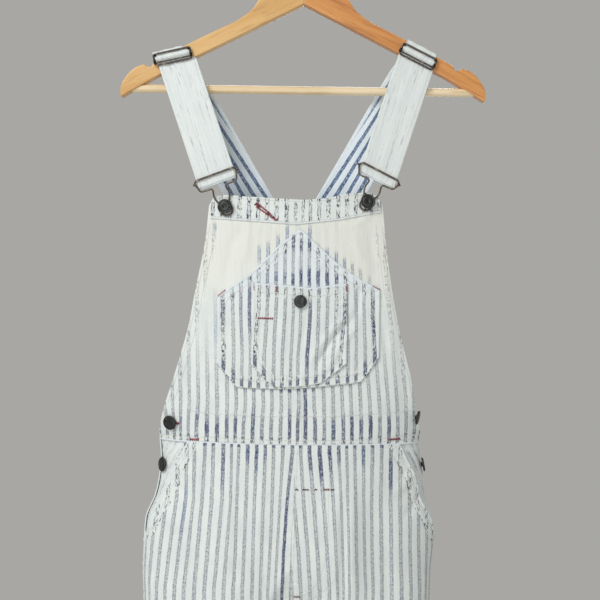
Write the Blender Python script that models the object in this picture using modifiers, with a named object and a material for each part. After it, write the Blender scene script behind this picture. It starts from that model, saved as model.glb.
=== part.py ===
"""Striped denim dungarees, hung by their shoulder straps on a wooden hanger.

Metres, +Z up.  The front of the garment faces -Y and +X is the viewer's right.
The origin is the underside of the hook's crown, where a rail would carry the hanger.
"Left" and "right" in the names are the viewer's.
"""
import math
from collections import namedtuple

import bmesh
import bpy
import numpy as np
from mathutils import Matrix, Vector

# ------------------------------------------------------------------ driving sizes
WALL = 0.0015               # denim of the trousers, the bib and the back
STRAP_WALL = 0.0016         # a strap is two layers of denim, pressed flat
PATCH_WALL = 0.0012         # pockets and the bib's top band
GAP = 0.0003                # between pieces at a seam or a seat
HALF_GAP = GAP / 2
PATCH_GAP = 0.0004          # under a patch that lies on a curved panel
FACING_GAP = 0.0010         # between a hip-pocket facing and the panel over it

MIDDLE_Y = -0.004           # depth of the side seams
WAIST_Z = -0.608
HEM_Z = -1.608
FORK_TOP_Z = -0.735         # where the centre seam starts to sink between the legs
FORK_LOW_Z = -0.895         # below this each leg is a tube of its own
OUTSEAM_TURN = {-1: math.radians(88), 1: math.radians(98)}
SEAM_TURN = math.radians(0.22)      # half a seam's gap on a tube of cloth
EDGE_STRIP = 0.010          # a narrow first and last column keeps the rims square
WAIST_STRIP = 0.006         # and so does a narrow row just above the waist seam

FACING_LOW_Z = -0.735
FACING_LAP = math.radians(13)

PEAK_X = -0.0073            # the point of the back bib, between the straps
PEAK_Z = -0.372
STRAP_HALF = 0.0216         # half of a strap's width at the hanger
ROOT_HALF = 0.0252          # half of its width where it is sewn to the back
ROOT_Y = 0.0218
STRAP_LAYER_GAP = 0.0005

ARM_THICKNESS = 0.013
ARM_ROUNDING = 0.002
BAR_RADIUS = 0.00475
BAR_Z = -0.2048
BAR_HALF_LENGTH = 0.1969
HOOK_RADIUS = 0.021
HOOK_WIRE = 0.0018
NECK_TOP_Z = -0.077

SLIDER_WIRE = 0.0013
SLIDER_WIDTH = 0.0428
SLIDER_HEIGHT = 0.0132
SLIDER_BAR_RISE = 0.0032    # from the frame's lower wire up to its middle bar
SLIDER_HALF = 0.0197        # half of the strap's width where the slider gathers it
BELOW_SLIDER = 0.0075       # at this depth below its middle the strap has its full width again
BULGE_DEPTH = 0.0016        # how far the cloth swells out through the slider
CLIP_WIRE = 0.0011
CLIP_HALF = 0.0241
CLIP_FRONT_HALF = 0.0205
CLIP_FRONT = 0.0040         # from the clip's bar forward to its front wire
CLIP_DROP = 0.0075          # from the clip's front wire to the bar in the strap's fold
CLIP_BAR_Y = -0.0305
HOOK_LOOP_WIRE = 0.0011
HOOK_REST = 0.0006          # between the hook and the bib's top band
HOOK_NECK = 0.0140          # height above the button where the hook leaves the bib
HOOK_REACH = 0.0080         # and the further height by which it stands clear of the strap

BUTTON_RADIUS = 0.0083
POCKET_BUTTON_RADIUS = 0.0072
SHANK_RADIUS = 0.0027

# ------------------------------------------------------------------ tables, top row first
BibRow = namedtuple("BibRow", "z left right turn_left turn_right depth")
BIB = [
    BibRow(-0.320, -0.1022, 0.0885, 42, 42, 0.0295),
    BibRow(-0.345, -0.1045, 0.0925, 42, 42, 0.0310),
    BibRow(-0.380, -0.1078, 0.0960, 43, 43, 0.0330),
    BibRow(-0.437, -0.1181, 0.1040, 45, 45, 0.0365),
    BibRow(-0.475, -0.1247, 0.1115, 47, 47, 0.0388),
    BibRow(-0.510, -0.1337, 0.1202, 50, 50, 0.0408),
    BibRow(-0.540, -0.1425, 0.1280, 53, 53, 0.0425),
    BibRow(-0.567, -0.1510, 0.1313, 57, 58, 0.0440),
    BibRow(-0.581, -0.1547, 0.1325, 62, 63, 0.0448),
    BibRow(-0.588, -0.1563, 0.1376, 66, 70, 0.0452),
    BibRow(-0.600, -0.1590, 0.1398, 78, 86, 0.0457),
    BibRow(-0.606, -0.1594, 0.1395, 88, 98, 0.0460),
    BibRow(-0.608, -0.1594, 0.1395, 88, 98, 0.0460),
]

EdgePoint = namedtuple("EdgePoint", "x z")
BIB_TOP = [
    EdgePoint(-0.1040, -0.3435),
    EdgePoint(-0.0995, -0.3336),
    EdgePoint(-0.0960, -0.3313),
    EdgePoint(-0.0834, -0.3300),
    EdgePoint(-0.0658, -0.3318),
    EdgePoint(-0.0462, -0.3326),
    EdgePoint(-0.0323, -0.3336),
    EdgePoint(-0.0174, -0.3343),
    EdgePoint(-0.0030, -0.3348),
    EdgePoint(0.0073, -0.3348),
    EdgePoint(0.0169, -0.3338),
    EdgePoint(0.0312, -0.3325),
    EdgePoint(0.0437, -0.3286),
    EdgePoint(0.0529, -0.3267),
    EdgePoint(0.0633, -0.3261),
    EdgePoint(0.0726, -0.3255),
    EdgePoint(0.0803, -0.3262),
    EdgePoint(0.0843, -0.3287),
    EdgePoint(0.0884, -0.3328),
    EdgePoint(0.0910, -0.3390),
]
BAND_LOW = [
    EdgePoint(-0.1035, -0.3560),
    EdgePoint(-0.0520, -0.3592),
    EdgePoint(-0.0054, -0.3622),
    EdgePoint(0.0420, -0.3564),
    EdgePoint(0.0897, -0.3465),
]

TrunkRow = namedtuple("TrunkRow", "z left right front back")
TRUNK = [
    TrunkRow(-0.608, -0.1595, 0.1410, 0.0460, 0.0460),
    TrunkRow(-0.629, -0.1578, 0.1434, 0.0470, 0.0485),
    TrunkRow(-0.650, -0.1595, 0.1475, 0.0482, 0.0515),
    TrunkRow(-0.670, -0.1632, 0.1495, 0.0500, 0.0545),
    TrunkRow(-0.700, -0.1745, 0.1588, 0.0530, 0.0585),
    TrunkRow(-0.722, -0.1760, 0.1582, 0.0540, 0.0610),
    TrunkRow(-0.755, -0.1770, 0.1547, 0.0550, 0.0630),
    TrunkRow(-0.795, -0.1753, 0.1540, 0.0552, 0.0620),
    TrunkRow(-0.900, -0.1750, 0.1545, 0.0550, 0.0600),
]

LegRow = namedtuple("LegRow", "z outer_left inner_left inner_right outer_right front back")
LEGS = [
    LegRow(-0.735, -0.1765, -0.0067, -0.0060, 0.1550, 0.0690, 0.0730),
    LegRow(-0.815, -0.1752, -0.0067, -0.0060, 0.1546, 0.0660, 0.0700),
    LegRow(-0.900, -0.1750, -0.0067, -0.0060, 0.1545, 0.0570, 0.0600),
    LegRow(-1.050, -0.1725, -0.0090, -0.0040, 0.1535, 0.0480, 0.0510),
    LegRow(-1.250, -0.1695, -0.0125, -0.0005, 0.1520, 0.0410, 0.0430),
    LegRow(-1.450, -0.1680, -0.0160, 0.0030, 0.1510, 0.0360, 0.0380),
    LegRow(-1.608, -0.1680, -0.0180, 0.0050, 0.1510, 0.0340, 0.0350),
]

SeamPoint = namedtuple("SeamPoint", "z x")
BIB_SEAM = [
    SeamPoint(-0.320, -0.0042),
    SeamPoint(-0.338, -0.0038),
    SeamPoint(-0.449, 0.0005),
    SeamPoint(-0.544, 0.0047),
    SeamPoint(-0.608, 0.0056),
]
FLY_SEAM = [
    SeamPoint(-0.608, -0.0027),
    SeamPoint(-0.656, -0.0037),
    SeamPoint(-0.731, -0.0057),
    SeamPoint(-0.775, -0.0062),
    SeamPoint(-0.900, -0.0065),
]

# the slanted front edge of each hip pocket, as degrees round the trunk from the front
PocketRow = namedtuple("PocketRow", "z left right")
HIP_POCKET = [
    PocketRow(-0.608, 50.0, 56.0),
    PocketRow(-0.640, 62.5, 65.0),
    PocketRow(-0.672, 68.5, 71.5),
    PocketRow(-0.705, 74.5, 80.0),
    PocketRow(-0.726, 88.0, 98.0),
]

BackRow = namedtuple("BackRow", "z left right turn_left turn_right depth")
BACK = [
    BackRow(-0.397, -0.0509, 0.0363, 25, 25, 0.0285),
    BackRow(-0.420, -0.0530, 0.0385, 27, 27, 0.0300),
    BackRow(-0.460, -0.0640, 0.0480, 31, 31, 0.0335),
    BackRow(-0.505, -0.0840, 0.0680, 39, 39, 0.0375),
    BackRow(-0.550, -0.1110, 0.0940, 51, 49, 0.0415),
    BackRow(-0.580, -0.1350, 0.1170, 65, 61, 0.0440),
    BackRow(-0.600, -0.1530, 0.1340, 83, 75, 0.0456),
    BackRow(-0.606, -0.1588, 0.1393, 90.4, 80.4, 0.0460),
    BackRow(-0.608, -0.1588, 0.1393, 90.4, 80.4, 0.0460),
]
BACK_SHOULDER = 0.0436      # from the peak to each shoulder, across
BACK_SLOPE = 0.578          # fall of the back's top edge on each side of its peak

# soft folds: a ridge (+) or trough (-) from one point down to another
Fold = namedtuple("Fold", "face top_x top_z low_x low_z spread height")
FRONT = 1
REAR = -1
FOLDS = [
    Fold(FRONT, -0.078, -0.630, -0.070, -0.760, 0.017, 0.0040),
    Fold(FRONT, -0.108, -0.660, -0.112, -0.860, 0.018, -0.0035),
    Fold(FRONT, 0.048, -0.625, 0.052, -0.830, 0.018, 0.0042),
    Fold(FRONT, 0.088, -0.650, 0.094, -0.900, 0.019, -0.0035),
    Fold(FRONT, -0.052, -0.800, -0.060, -1.700, 0.024, 0.0050),
    Fold(FRONT, -0.128, -0.860, -0.120, -1.700, 0.022, -0.0050),
    Fold(FRONT, 0.062, -0.900, 0.052, -1.700, 0.022, -0.0050),
    Fold(FRONT, 0.112, -0.780, 0.104, -1.700, 0.024, 0.0050),
    Fold(REAR, -0.075, -0.640, -0.060, -0.880, 0.022, -0.0050),
    Fold(REAR, 0.058, -0.650, 0.070, -0.900, 0.022, -0.0050),
    Fold(REAR, -0.095, -0.820, -0.090, -1.700, 0.024, 0.0055),
    Fold(REAR, 0.085, -0.840, 0.080, -1.700, 0.024, 0.0055),
]
FOLD_FADE = 0.25            # share of a fold's length over which each end dies away

OutlinePoint = namedtuple("OutlinePoint", "x top bottom")
LARGE_POCKET = [
    OutlinePoint(-0.0917, -0.4439, -0.5197),
    OutlinePoint(-0.0800, -0.4352, -0.5330),
    OutlinePoint(-0.0690, -0.4277, -0.5450),
    OutlinePoint(-0.0543, -0.4172, -0.5458),
    OutlinePoint(-0.0380, -0.4010, -0.5460),
    OutlinePoint(-0.0234, -0.3854, -0.5461),
    OutlinePoint(-0.0110, -0.3757, -0.5458),
    OutlinePoint(-0.0018, -0.3680, -0.5453),
    OutlinePoint(0.0045, -0.3712, -0.5447),
    OutlinePoint(0.0173, -0.3833, -0.5438),
    OutlinePoint(0.0300, -0.3955, -0.5424),
    OutlinePoint(0.0426, -0.4065, -0.5409),
    OutlinePoint(0.0560, -0.4160, -0.5394),
    OutlinePoint(0.0686, -0.4240, -0.5373),
    OutlinePoint(0.0800, -0.4295, -0.5235),
    OutlinePoint(0.0893, -0.4344, -0.5103),
]
SMALL_POCKET = [
    OutlinePoint(-0.0530, -0.4286, -0.5197),
    OutlinePoint(-0.0410, -0.4292, -0.5322),
    OutlinePoint(-0.0288, -0.4300, -0.5440),
    OutlinePoint(-0.0121, -0.4312, -0.5440),
    OutlinePoint(0.0091, -0.4334, -0.5425),
    OutlinePoint(0.0247, -0.4318, -0.5389),
    OutlinePoint(0.0380, -0.4298, -0.5290),
    OutlinePoint(0.0525, -0.4278, -0.5175),
]

ArmPoint = namedtuple("ArmPoint", "x z")
ARM_OUTLINE = [
    ArmPoint(0.00015, -0.1061),
    ArmPoint(0.1644, -0.1890),
    ArmPoint(0.2030, -0.2120),
    ArmPoint(0.2072, -0.2150),
    ArmPoint(0.2099, -0.2145),
    ArmPoint(0.2106, -0.2110),
    ArmPoint(0.2090, -0.2010),
    ArmPoint(0.2040, -0.1925),
    ArmPoint(0.1980, -0.1855),
    ArmPoint(0.1915, -0.1808),
    ArmPoint(0.1828, -0.1780),
    ArmPoint(0.1792, -0.1808),
    ArmPoint(0.1748, -0.1806),
    ArmPoint(0.1716, -0.1745),
    ArmPoint(0.1317, -0.1533),
    ArmPoint(0.1010, -0.1380),
    ArmPoint(0.0790, -0.1272),
    ArmPoint(0.0665, -0.1188),
    ArmPoint(0.0584, -0.1115),
    ArmPoint(0.0510, -0.0999),
    ArmPoint(0.0400, -0.0885),
    ArmPoint(0.0260, -0.0805),
    ArmPoint(0.0120, -0.0773),
    ArmPoint(0.00015, -0.0770),
]

# crown: middle of the strap's inner face over the arm; run: where the line of its straight run
# meets that height; heel: where it leaves the arm's back
StrapPlan = namedtuple(
    "StrapPlan",
    "name side crown_x crown_z crown_tilt crown_half run_x heel_x heel_z root_tilt "
    "clip_x clip_z clip_tilt slider_x slider_z slider_tilt",
)
STRAPS = [
    StrapPlan("left", -1, -0.1567, -0.1617, 14.2, 0.0168, -0.1494, -0.1467, -0.1800, 30.0,
              -0.0979, -0.3070, 21.0, -0.1501, -0.1696, 13.0),
    StrapPlan("right", 1, 0.1359, -0.1546, 27.0, 0.0180, 0.1350, 0.1302, -0.1720, 30.0,
              0.0885, -0.3016, 26.5, 0.1314, -0.1660, 26.3),
]

# twist: degrees by which a loose button leans outwards, away from the cloth
ButtonPlace = namedtuple("ButtonPlace", "name x z radius lift twist")
BIB_BUTTONS = [
    ButtonPlace("bib_button_left", -0.0849, -0.3436, BUTTON_RADIUS, 1, 0),
    ButtonPlace("bib_button_right", 0.0737, -0.3357, BUTTON_RADIUS, 1, 0),
    ButtonPlace("pocket_button", 0.0005, -0.4488, POCKET_BUTTON_RADIUS, 2, 0),
    ButtonPlace("side_button_left_upper", -0.1435, -0.5866, BUTTON_RADIUS, 0, 0),
    ButtonPlace("side_button_right_upper", 0.1310, -0.5768, BUTTON_RADIUS, 0, 48),
]
SideButton = namedtuple("SideButton", "name side turn z")
SIDE_BUTTONS = [
    SideButton("side_button_left_lower", -1, 78.0, -0.6370),
    SideButton("side_button_right_lower", 1, 88.0, -0.6344),
]

Finish = namedtuple("Finish", "colour roughness metallic")
DENIM = Finish((0.62, 0.65, 0.68), 0.9, 0.0)
DENIM_INSIDE = Finish((0.30, 0.42, 0.60), 0.9, 0.0)
HONEY_WOOD = Finish((0.76, 0.50, 0.22), 0.4, 0.0)
RED_WOOD = Finish((0.67, 0.38, 0.15), 0.4, 0.0)
PALE_WOOD = Finish((0.75, 0.60, 0.38), 0.5, 0.0)
BRONZE = Finish((0.09, 0.07, 0.05), 0.4, 0.9)
GUNMETAL = Finish((0.10, 0.10, 0.10), 0.4, 0.9)
STEEL = Finish((0.60, 0.60, 0.60), 0.25, 1.0)


# ------------------------------------------------------------------ scene helpers
def clear_scene():
    for item in list(bpy.data.objects):
        bpy.data.objects.remove(item, do_unlink=True)


def new_collection(name):
    collection = bpy.data.collections.new(name)
    bpy.context.scene.collection.children.link(collection)
    return collection


def give_material(item, finish):
    material = bpy.data.materials.new(item.name)
    material.use_nodes = True
    shader = material.node_tree.nodes["Principled BSDF"]
    shader.inputs["Base Color"].default_value = (*finish.colour, 1.0)
    shader.inputs["Roughness"].default_value = finish.roughness
    shader.inputs["Metallic"].default_value = finish.metallic
    item.data.materials.append(material)


def place(item, collection, finish):
    collection.objects.link(item)
    give_material(item, finish)
    return item


# ------------------------------------------------------------------ curves through the tables
def smooth_curve(knots, values, at):
    """Monotone cubic through rising knots, flat beyond both ends."""
    knots = np.asarray(knots, dtype=float)
    values = np.asarray(values, dtype=float)
    step = np.diff(knots)
    slope = np.diff(values) / step
    tangent = np.empty_like(values)
    tangent[0] = slope[0]
    tangent[-1] = slope[-1]
    before = slope[:-1]
    after = slope[1:]
    rising = before * after > 0
    weight_a = 2 * step[1:] + step[:-1]
    weight_b = step[1:] + 2 * step[:-1]
    safe_before = np.where(rising, before, 1.0)
    safe_after = np.where(rising, after, 1.0)
    blended = (weight_a + weight_b) / (weight_a / safe_before + weight_b / safe_after)
    tangent[1:-1] = np.where(rising, blended, 0.0)
    at = np.clip(at, knots[0], knots[-1])
    left = np.clip(np.searchsorted(knots, at, side="right") - 1, 0, len(step) - 1)
    t = (at - knots[left]) / step[left]
    t2 = t * t
    t3 = t2 * t
    return (
        (2 * t3 - 3 * t2 + 1) * values[left]
        + (t3 - 2 * t2 + t) * step[left] * tangent[left]
        + (3 * t2 - 2 * t3) * values[left + 1]
        + (t3 - t2) * step[left] * tangent[left + 1]
    )


def read(rows, column, z):
    """One column of a table whose rows run downwards, at height z."""
    rising = rows[::-1]
    return smooth_curve([row.z for row in rising], [getattr(row, column) for row in rising], z)


def read_outline(rows, column, x):
    """One column of an outline table, straight between its points."""
    return np.interp(x, [row.x for row in rows], [getattr(row, column) for row in rows])


def smooth_step(value):
    value = np.clip(value, 0.0, 1.0)
    return value * value * (3 - 2 * value)


def fold_height(x, z, facing):
    """How far the folds push the cloth out at (x, z); facing is 1 at the front, -1 at the back."""
    total = np.zeros(np.broadcast(x, z).shape)
    for fold in FOLDS:
        down = (fold.top_z - z) / (fold.top_z - fold.low_z)
        middle = fold.top_x + (fold.low_x - fold.top_x) * np.clip(down, 0, 1)
        ends = smooth_step(down / FOLD_FADE) * smooth_step((1 - down) / FOLD_FADE)
        across = np.exp(-(((x - middle) / fold.spread) ** 2))
        total = total + fold.height * ends * across * np.clip(facing * fold.face, 0, 1)
    return total


# ------------------------------------------------------------------ surfaces of the garment
def ring(centre, half, depth, angle):
    """A point of an oval section and the outward direction there."""
    x = centre + half * np.sin(angle)
    y = MIDDLE_Y - depth * np.cos(angle)
    normal_x = np.sin(angle) / half
    normal_y = -np.cos(angle) / depth
    length = np.hypot(normal_x, normal_y)
    return x, y, normal_x / length, normal_y / length


def pushed(x, y, z, normal_x, normal_y, distance):
    return np.stack([x + normal_x * distance, y + normal_y * distance, z + 0 * x], axis=-1)


def bib_section(z, side):
    """Middle and half width of the oval that one half of the bib follows at height z."""
    left = read(BIB, "left", z)
    right = read(BIB, "right", z)
    turn = read(BIB, "turn_left" if side < 0 else "turn_right", z)
    return (left + right) / 2, (right - left) / 2 / np.sin(np.radians(np.minimum(turn, 90)))


def bib_angle(x, z, side):
    centre, half = bib_section(z, side)
    return np.arcsin(np.clip((x - centre) / half, -1, 1))


def bib_at_angle(z, angle, side, lift=0.0):
    centre, half = bib_section(z, side)
    x, y, normal_x, normal_y = ring(centre, half, read(BIB, "depth", z), angle)
    push = fold_height(x, z, np.cos(angle)) + lift
    return pushed(x, y, z, normal_x, normal_y, push)


def bib_half(side, t, z_low_share):
    """Half of the bib: t runs from its outer edge to the centre seam, the share from waist to top."""
    edge_x = read(BIB, "left" if side < 0 else "right", np.full_like(t, -0.333))
    seam_x = read(BIB_SEAM, "x", np.full_like(t, -0.333)) + side * HALF_GAP
    top_z = read_outline(BIB_TOP, "z", edge_x + (seam_x - edge_x) * t)
    low_z = WAIST_Z + HALF_GAP
    z = low_z + (top_z - low_z) * z_low_share
    turn = np.radians(read(BIB, "turn_left" if side < 0 else "turn_right", z))
    seam = bib_angle(read(BIB_SEAM, "x", z) + side * HALF_GAP, z, side)
    angle = side * turn * (1 - t) + seam * t
    return bib_at_angle(z, angle, side)


def on_bib(x, z, lift):
    """A point that lies on the bib at (x, z), lifted off it."""
    left = bib_at_angle(z, bib_angle(x, z, -1), -1, lift)
    right = bib_at_angle(z, bib_angle(x, z, 1), 1, lift)
    return np.where((x < read(BIB_SEAM, "x", z))[..., None], left, right)


def trousers(side, face, t, z, outer_turn, lift=0.0):
    """A trouser panel: t runs from its outer edge to the centre seam, or to the inside leg."""
    left = read(TRUNK, "left", z)
    right = read(TRUNK, "right", z)
    centre = (left + right) / 2
    half = (right - left) / 2
    seam_x = read(FLY_SEAM, "x", z) + side * HALF_GAP
    seam = np.arcsin((seam_x - centre) / half)
    if face == REAR:
        seam = side * math.pi - seam
    angle = side * outer_turn * (1 - t) + seam * t
    depth = np.where(np.cos(angle) > 0, read(TRUNK, "front", z), read(TRUNK, "back", z))
    trunk = ring(centre, half, depth, angle)

    word = "left" if side < 0 else "right"
    outer_x = read(LEGS, "outer_" + word, z)
    inner_x = read(LEGS, "inner_" + word, z)
    inseam = -math.pi / 2 + SEAM_TURN if face == FRONT else 3 * math.pi / 2 - SEAM_TURN
    leg_angle = side * (outer_turn * (1 - t) + inseam * t)
    leg_depth = np.where(np.cos(leg_angle) > 0, read(LEGS, "front", z), read(LEGS, "back", z))
    leg = ring((outer_x + inner_x) / 2, np.abs(outer_x - inner_x) / 2, leg_depth, leg_angle)

    fork = smooth_step((FORK_TOP_Z - z) / (FORK_TOP_Z - FORK_LOW_Z))
    x, y, normal_x, normal_y = [(1 - fork) * a + fork * b for a, b in zip(trunk, leg)]
    length = np.hypot(normal_x, normal_y)
    facing = (1 - fork) * np.cos(angle) + fork * np.cos(leg_angle)
    push = fold_height(x, z, facing) + lift
    return pushed(x, y, z, normal_x / length, normal_y / length, push)


def pocket_turn(side, z):
    return np.radians(read(HIP_POCKET, "left" if side < 0 else "right", z))


def back_surface(s, z_low_share):
    """The back bib: s runs from -1 at its left edge to 1 at its right edge."""
    top_z = PEAK_Z - BACK_SLOPE * BACK_SHOULDER * np.abs(s)
    low_z = WAIST_Z + HALF_GAP
    z = low_z + (top_z - low_z) * z_low_share
    left = read(BACK, "left", z)
    right = read(BACK, "right", z)
    turn = np.radians(np.where(s < 0, read(BACK, "turn_left", z), read(BACK, "turn_right", z)))
    half = (right - left) / 2 / np.sin(np.minimum(turn, math.pi / 2))
    angle = math.pi - s * turn
    x, y, normal_x, normal_y = ring((left + right) / 2, half, read(BACK, "depth", z), angle)
    return pushed(x, y, z, normal_x, normal_y, fold_height(x, z, np.cos(angle)))


# ------------------------------------------------------------------ sheets of cloth
def even_steps(count):
    return np.linspace(0.0, 1.0, count + 1)


def crowded_steps(count, ends=0.5):
    """Steps that crowd towards both ends, with a narrow strip along each rim."""
    even = np.linspace(0.0, 1.0, count - 1)
    bunched = (1 - np.cos(math.pi * even)) / 2
    inner = (1 - ends) * even + ends * bunched
    inner = EDGE_STRIP + (1 - 2 * EDGE_STRIP) * inner
    return np.concatenate([[0.0], inner, [1.0]])


def cloth(name, surface, columns, rows, wall, collection, finish):
    """A wall of cloth behind the grid surface(u, v), whose faces look outwards."""
    mesh_builder = bmesh.new()
    bmesh.ops.create_grid(
        mesh_builder, x_segments=len(columns) - 1, y_segments=len(rows) - 1, size=1.0)
    corners = np.array([vertex.co for vertex in mesh_builder.verts])
    column = np.rint((corners[:, 0] + 1) / 2 * (len(columns) - 1)).astype(int)
    row = np.rint((corners[:, 1] + 1) / 2 * (len(rows) - 1)).astype(int)
    points = surface(np.asarray(columns)[column], np.asarray(rows)[row])
    for vertex, point in zip(mesh_builder.verts, points):
        vertex.co = Vector(point)
    mesh = bpy.data.meshes.new(name)
    mesh_builder.to_mesh(mesh)
    mesh_builder.free()
    mesh.shade_smooth()
    item = place(bpy.data.objects.new(name, mesh), collection, finish)
    solidify = item.modifiers.new("wall", "SOLIDIFY")
    solidify.thickness = wall
    solidify.offset = -1.0
    return item


def make_bib(collection):
    columns = crowded_steps(9, 0.35)
    rows = np.concatenate([[0.0], WAIST_STRIP + (1 - WAIST_STRIP) * even_steps(17)])
    for side, name in ((-1, "bib_left"), (1, "bib_right")):
        def surface(u, v, side=side):
            return bib_half(side, u if side < 0 else 1 - u, v)
        cloth(name, surface, columns, rows, WALL, collection, DENIM)


def make_top_band(collection):
    lift = PATCH_GAP + PATCH_WALL
    left_x = read(BIB, "left", -0.333) + 0.0012
    right_x = read(BIB, "right", -0.333) - 0.0012

    def surface(u, v):
        x = left_x + (right_x - left_x) * u
        top = read_outline(BIB_TOP, "z", x)
        bottom = read_outline(BAND_LOW, "z", x)
        return on_bib(x, bottom + (top - bottom) * v, lift)

    cloth("bib_top_band", surface, even_steps(22), even_steps(2), PATCH_WALL, collection, DENIM)


def make_patch(name, outline, row_count, layers, collection):
    """A pocket on the bib; layers counts the patches from the bib outwards."""
    lift = layers * (PATCH_GAP + PATCH_WALL)
    xs = np.array([point.x for point in outline])
    columns = (xs - xs[0]) / (xs[-1] - xs[0])

    def surface(u, v):
        x = xs[0] + (xs[-1] - xs[0]) * u
        top = read_outline(outline, "top", x)
        bottom = read_outline(outline, "bottom", x)
        return on_bib(x, bottom + (top - bottom) * v, lift)

    cloth(name, surface, columns, even_steps(row_count), PATCH_WALL, collection, DENIM)


def leg_rows():
    """Heights of the rings, close together over the hips and the fork."""
    hips = np.linspace(WAIST_Z - HALF_GAP, FORK_TOP_Z, 8)
    fork = np.linspace(FORK_TOP_Z, FORK_LOW_Z - 0.015, 12)[1:]
    shin = np.linspace(FORK_LOW_Z - 0.015, HEM_Z, 11)[1:]
    return np.concatenate([hips, fork, shin])[::-1]


def make_legs(collection):
    columns = crowded_steps(13, 0.45)
    heights = leg_rows()
    rows = np.linspace(0.0, 1.0, len(heights))
    for side, word in ((-1, "left"), (1, "right")):
        for face, place_word in ((FRONT, "front"), (REAR, "back")):
            def surface(u, v, side=side, face=face):
                z = np.interp(v, rows, heights)
                t = u if side * face < 0 else 1 - u
                turn = np.full_like(z, OUTSEAM_TURN[side] - face * SEAM_TURN)
                if face == FRONT:
                    turn = np.minimum(turn, pocket_turn(side, z))
                return trousers(side, face, t, z, turn)
            cloth("leg_" + place_word + "_" + word, surface, columns, rows, WALL, collection, DENIM)


def make_hip_facings(collection):
    """The pocket's inner cloth and the side placket, set in behind the front panel's slanted edge."""
    top_z = WAIST_Z - HALF_GAP
    for side, word in ((-1, "left"), (1, "right")):
        outer = OUTSEAM_TURN[side] - SEAM_TURN

        def surface(u, v, side=side, outer=outer):
            z = FACING_LOW_Z + (top_z - FACING_LOW_Z) * v
            inner = np.minimum(pocket_turn(side, z), outer) - FACING_LAP
            t = u if side < 0 else 1 - u
            turn = outer * (1 - t) + inner * t
            return trousers(side, FRONT, 0 * t, z, turn, -(WALL + FACING_GAP))

        cloth("hip_facing_" + word, surface, crowded_steps(9, 0.3), even_steps(8), WALL,
              collection, DENIM)


def make_back(collection):
    def surface(u, v):
        return back_surface(1 - 2 * u, v)

    columns = np.unique(np.concatenate([crowded_steps(15, 0.4), [0.5]]))
    rows = np.concatenate([[0.0], WAIST_STRIP + (1 - WAIST_STRIP) * even_steps(14)])
    cloth("back_panel", surface, columns, rows, WALL, collection, DENIM)


# ------------------------------------------------------------------ straps
Station = namedtuple("Station", "x y z tilt half")


def across(side, tilt):
    """Direction across a strap, towards the middle of the garment and upwards by tilt."""
    angle = math.radians(tilt)
    return Vector((-side * math.cos(angle), 0.0, math.sin(angle)))


def down(side, tilt):
    angle = math.radians(tilt)
    return Vector((-side * math.sin(angle), 0.0, -math.cos(angle)))


def blend(a, b, t):
    return a + (b - a) * t


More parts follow.
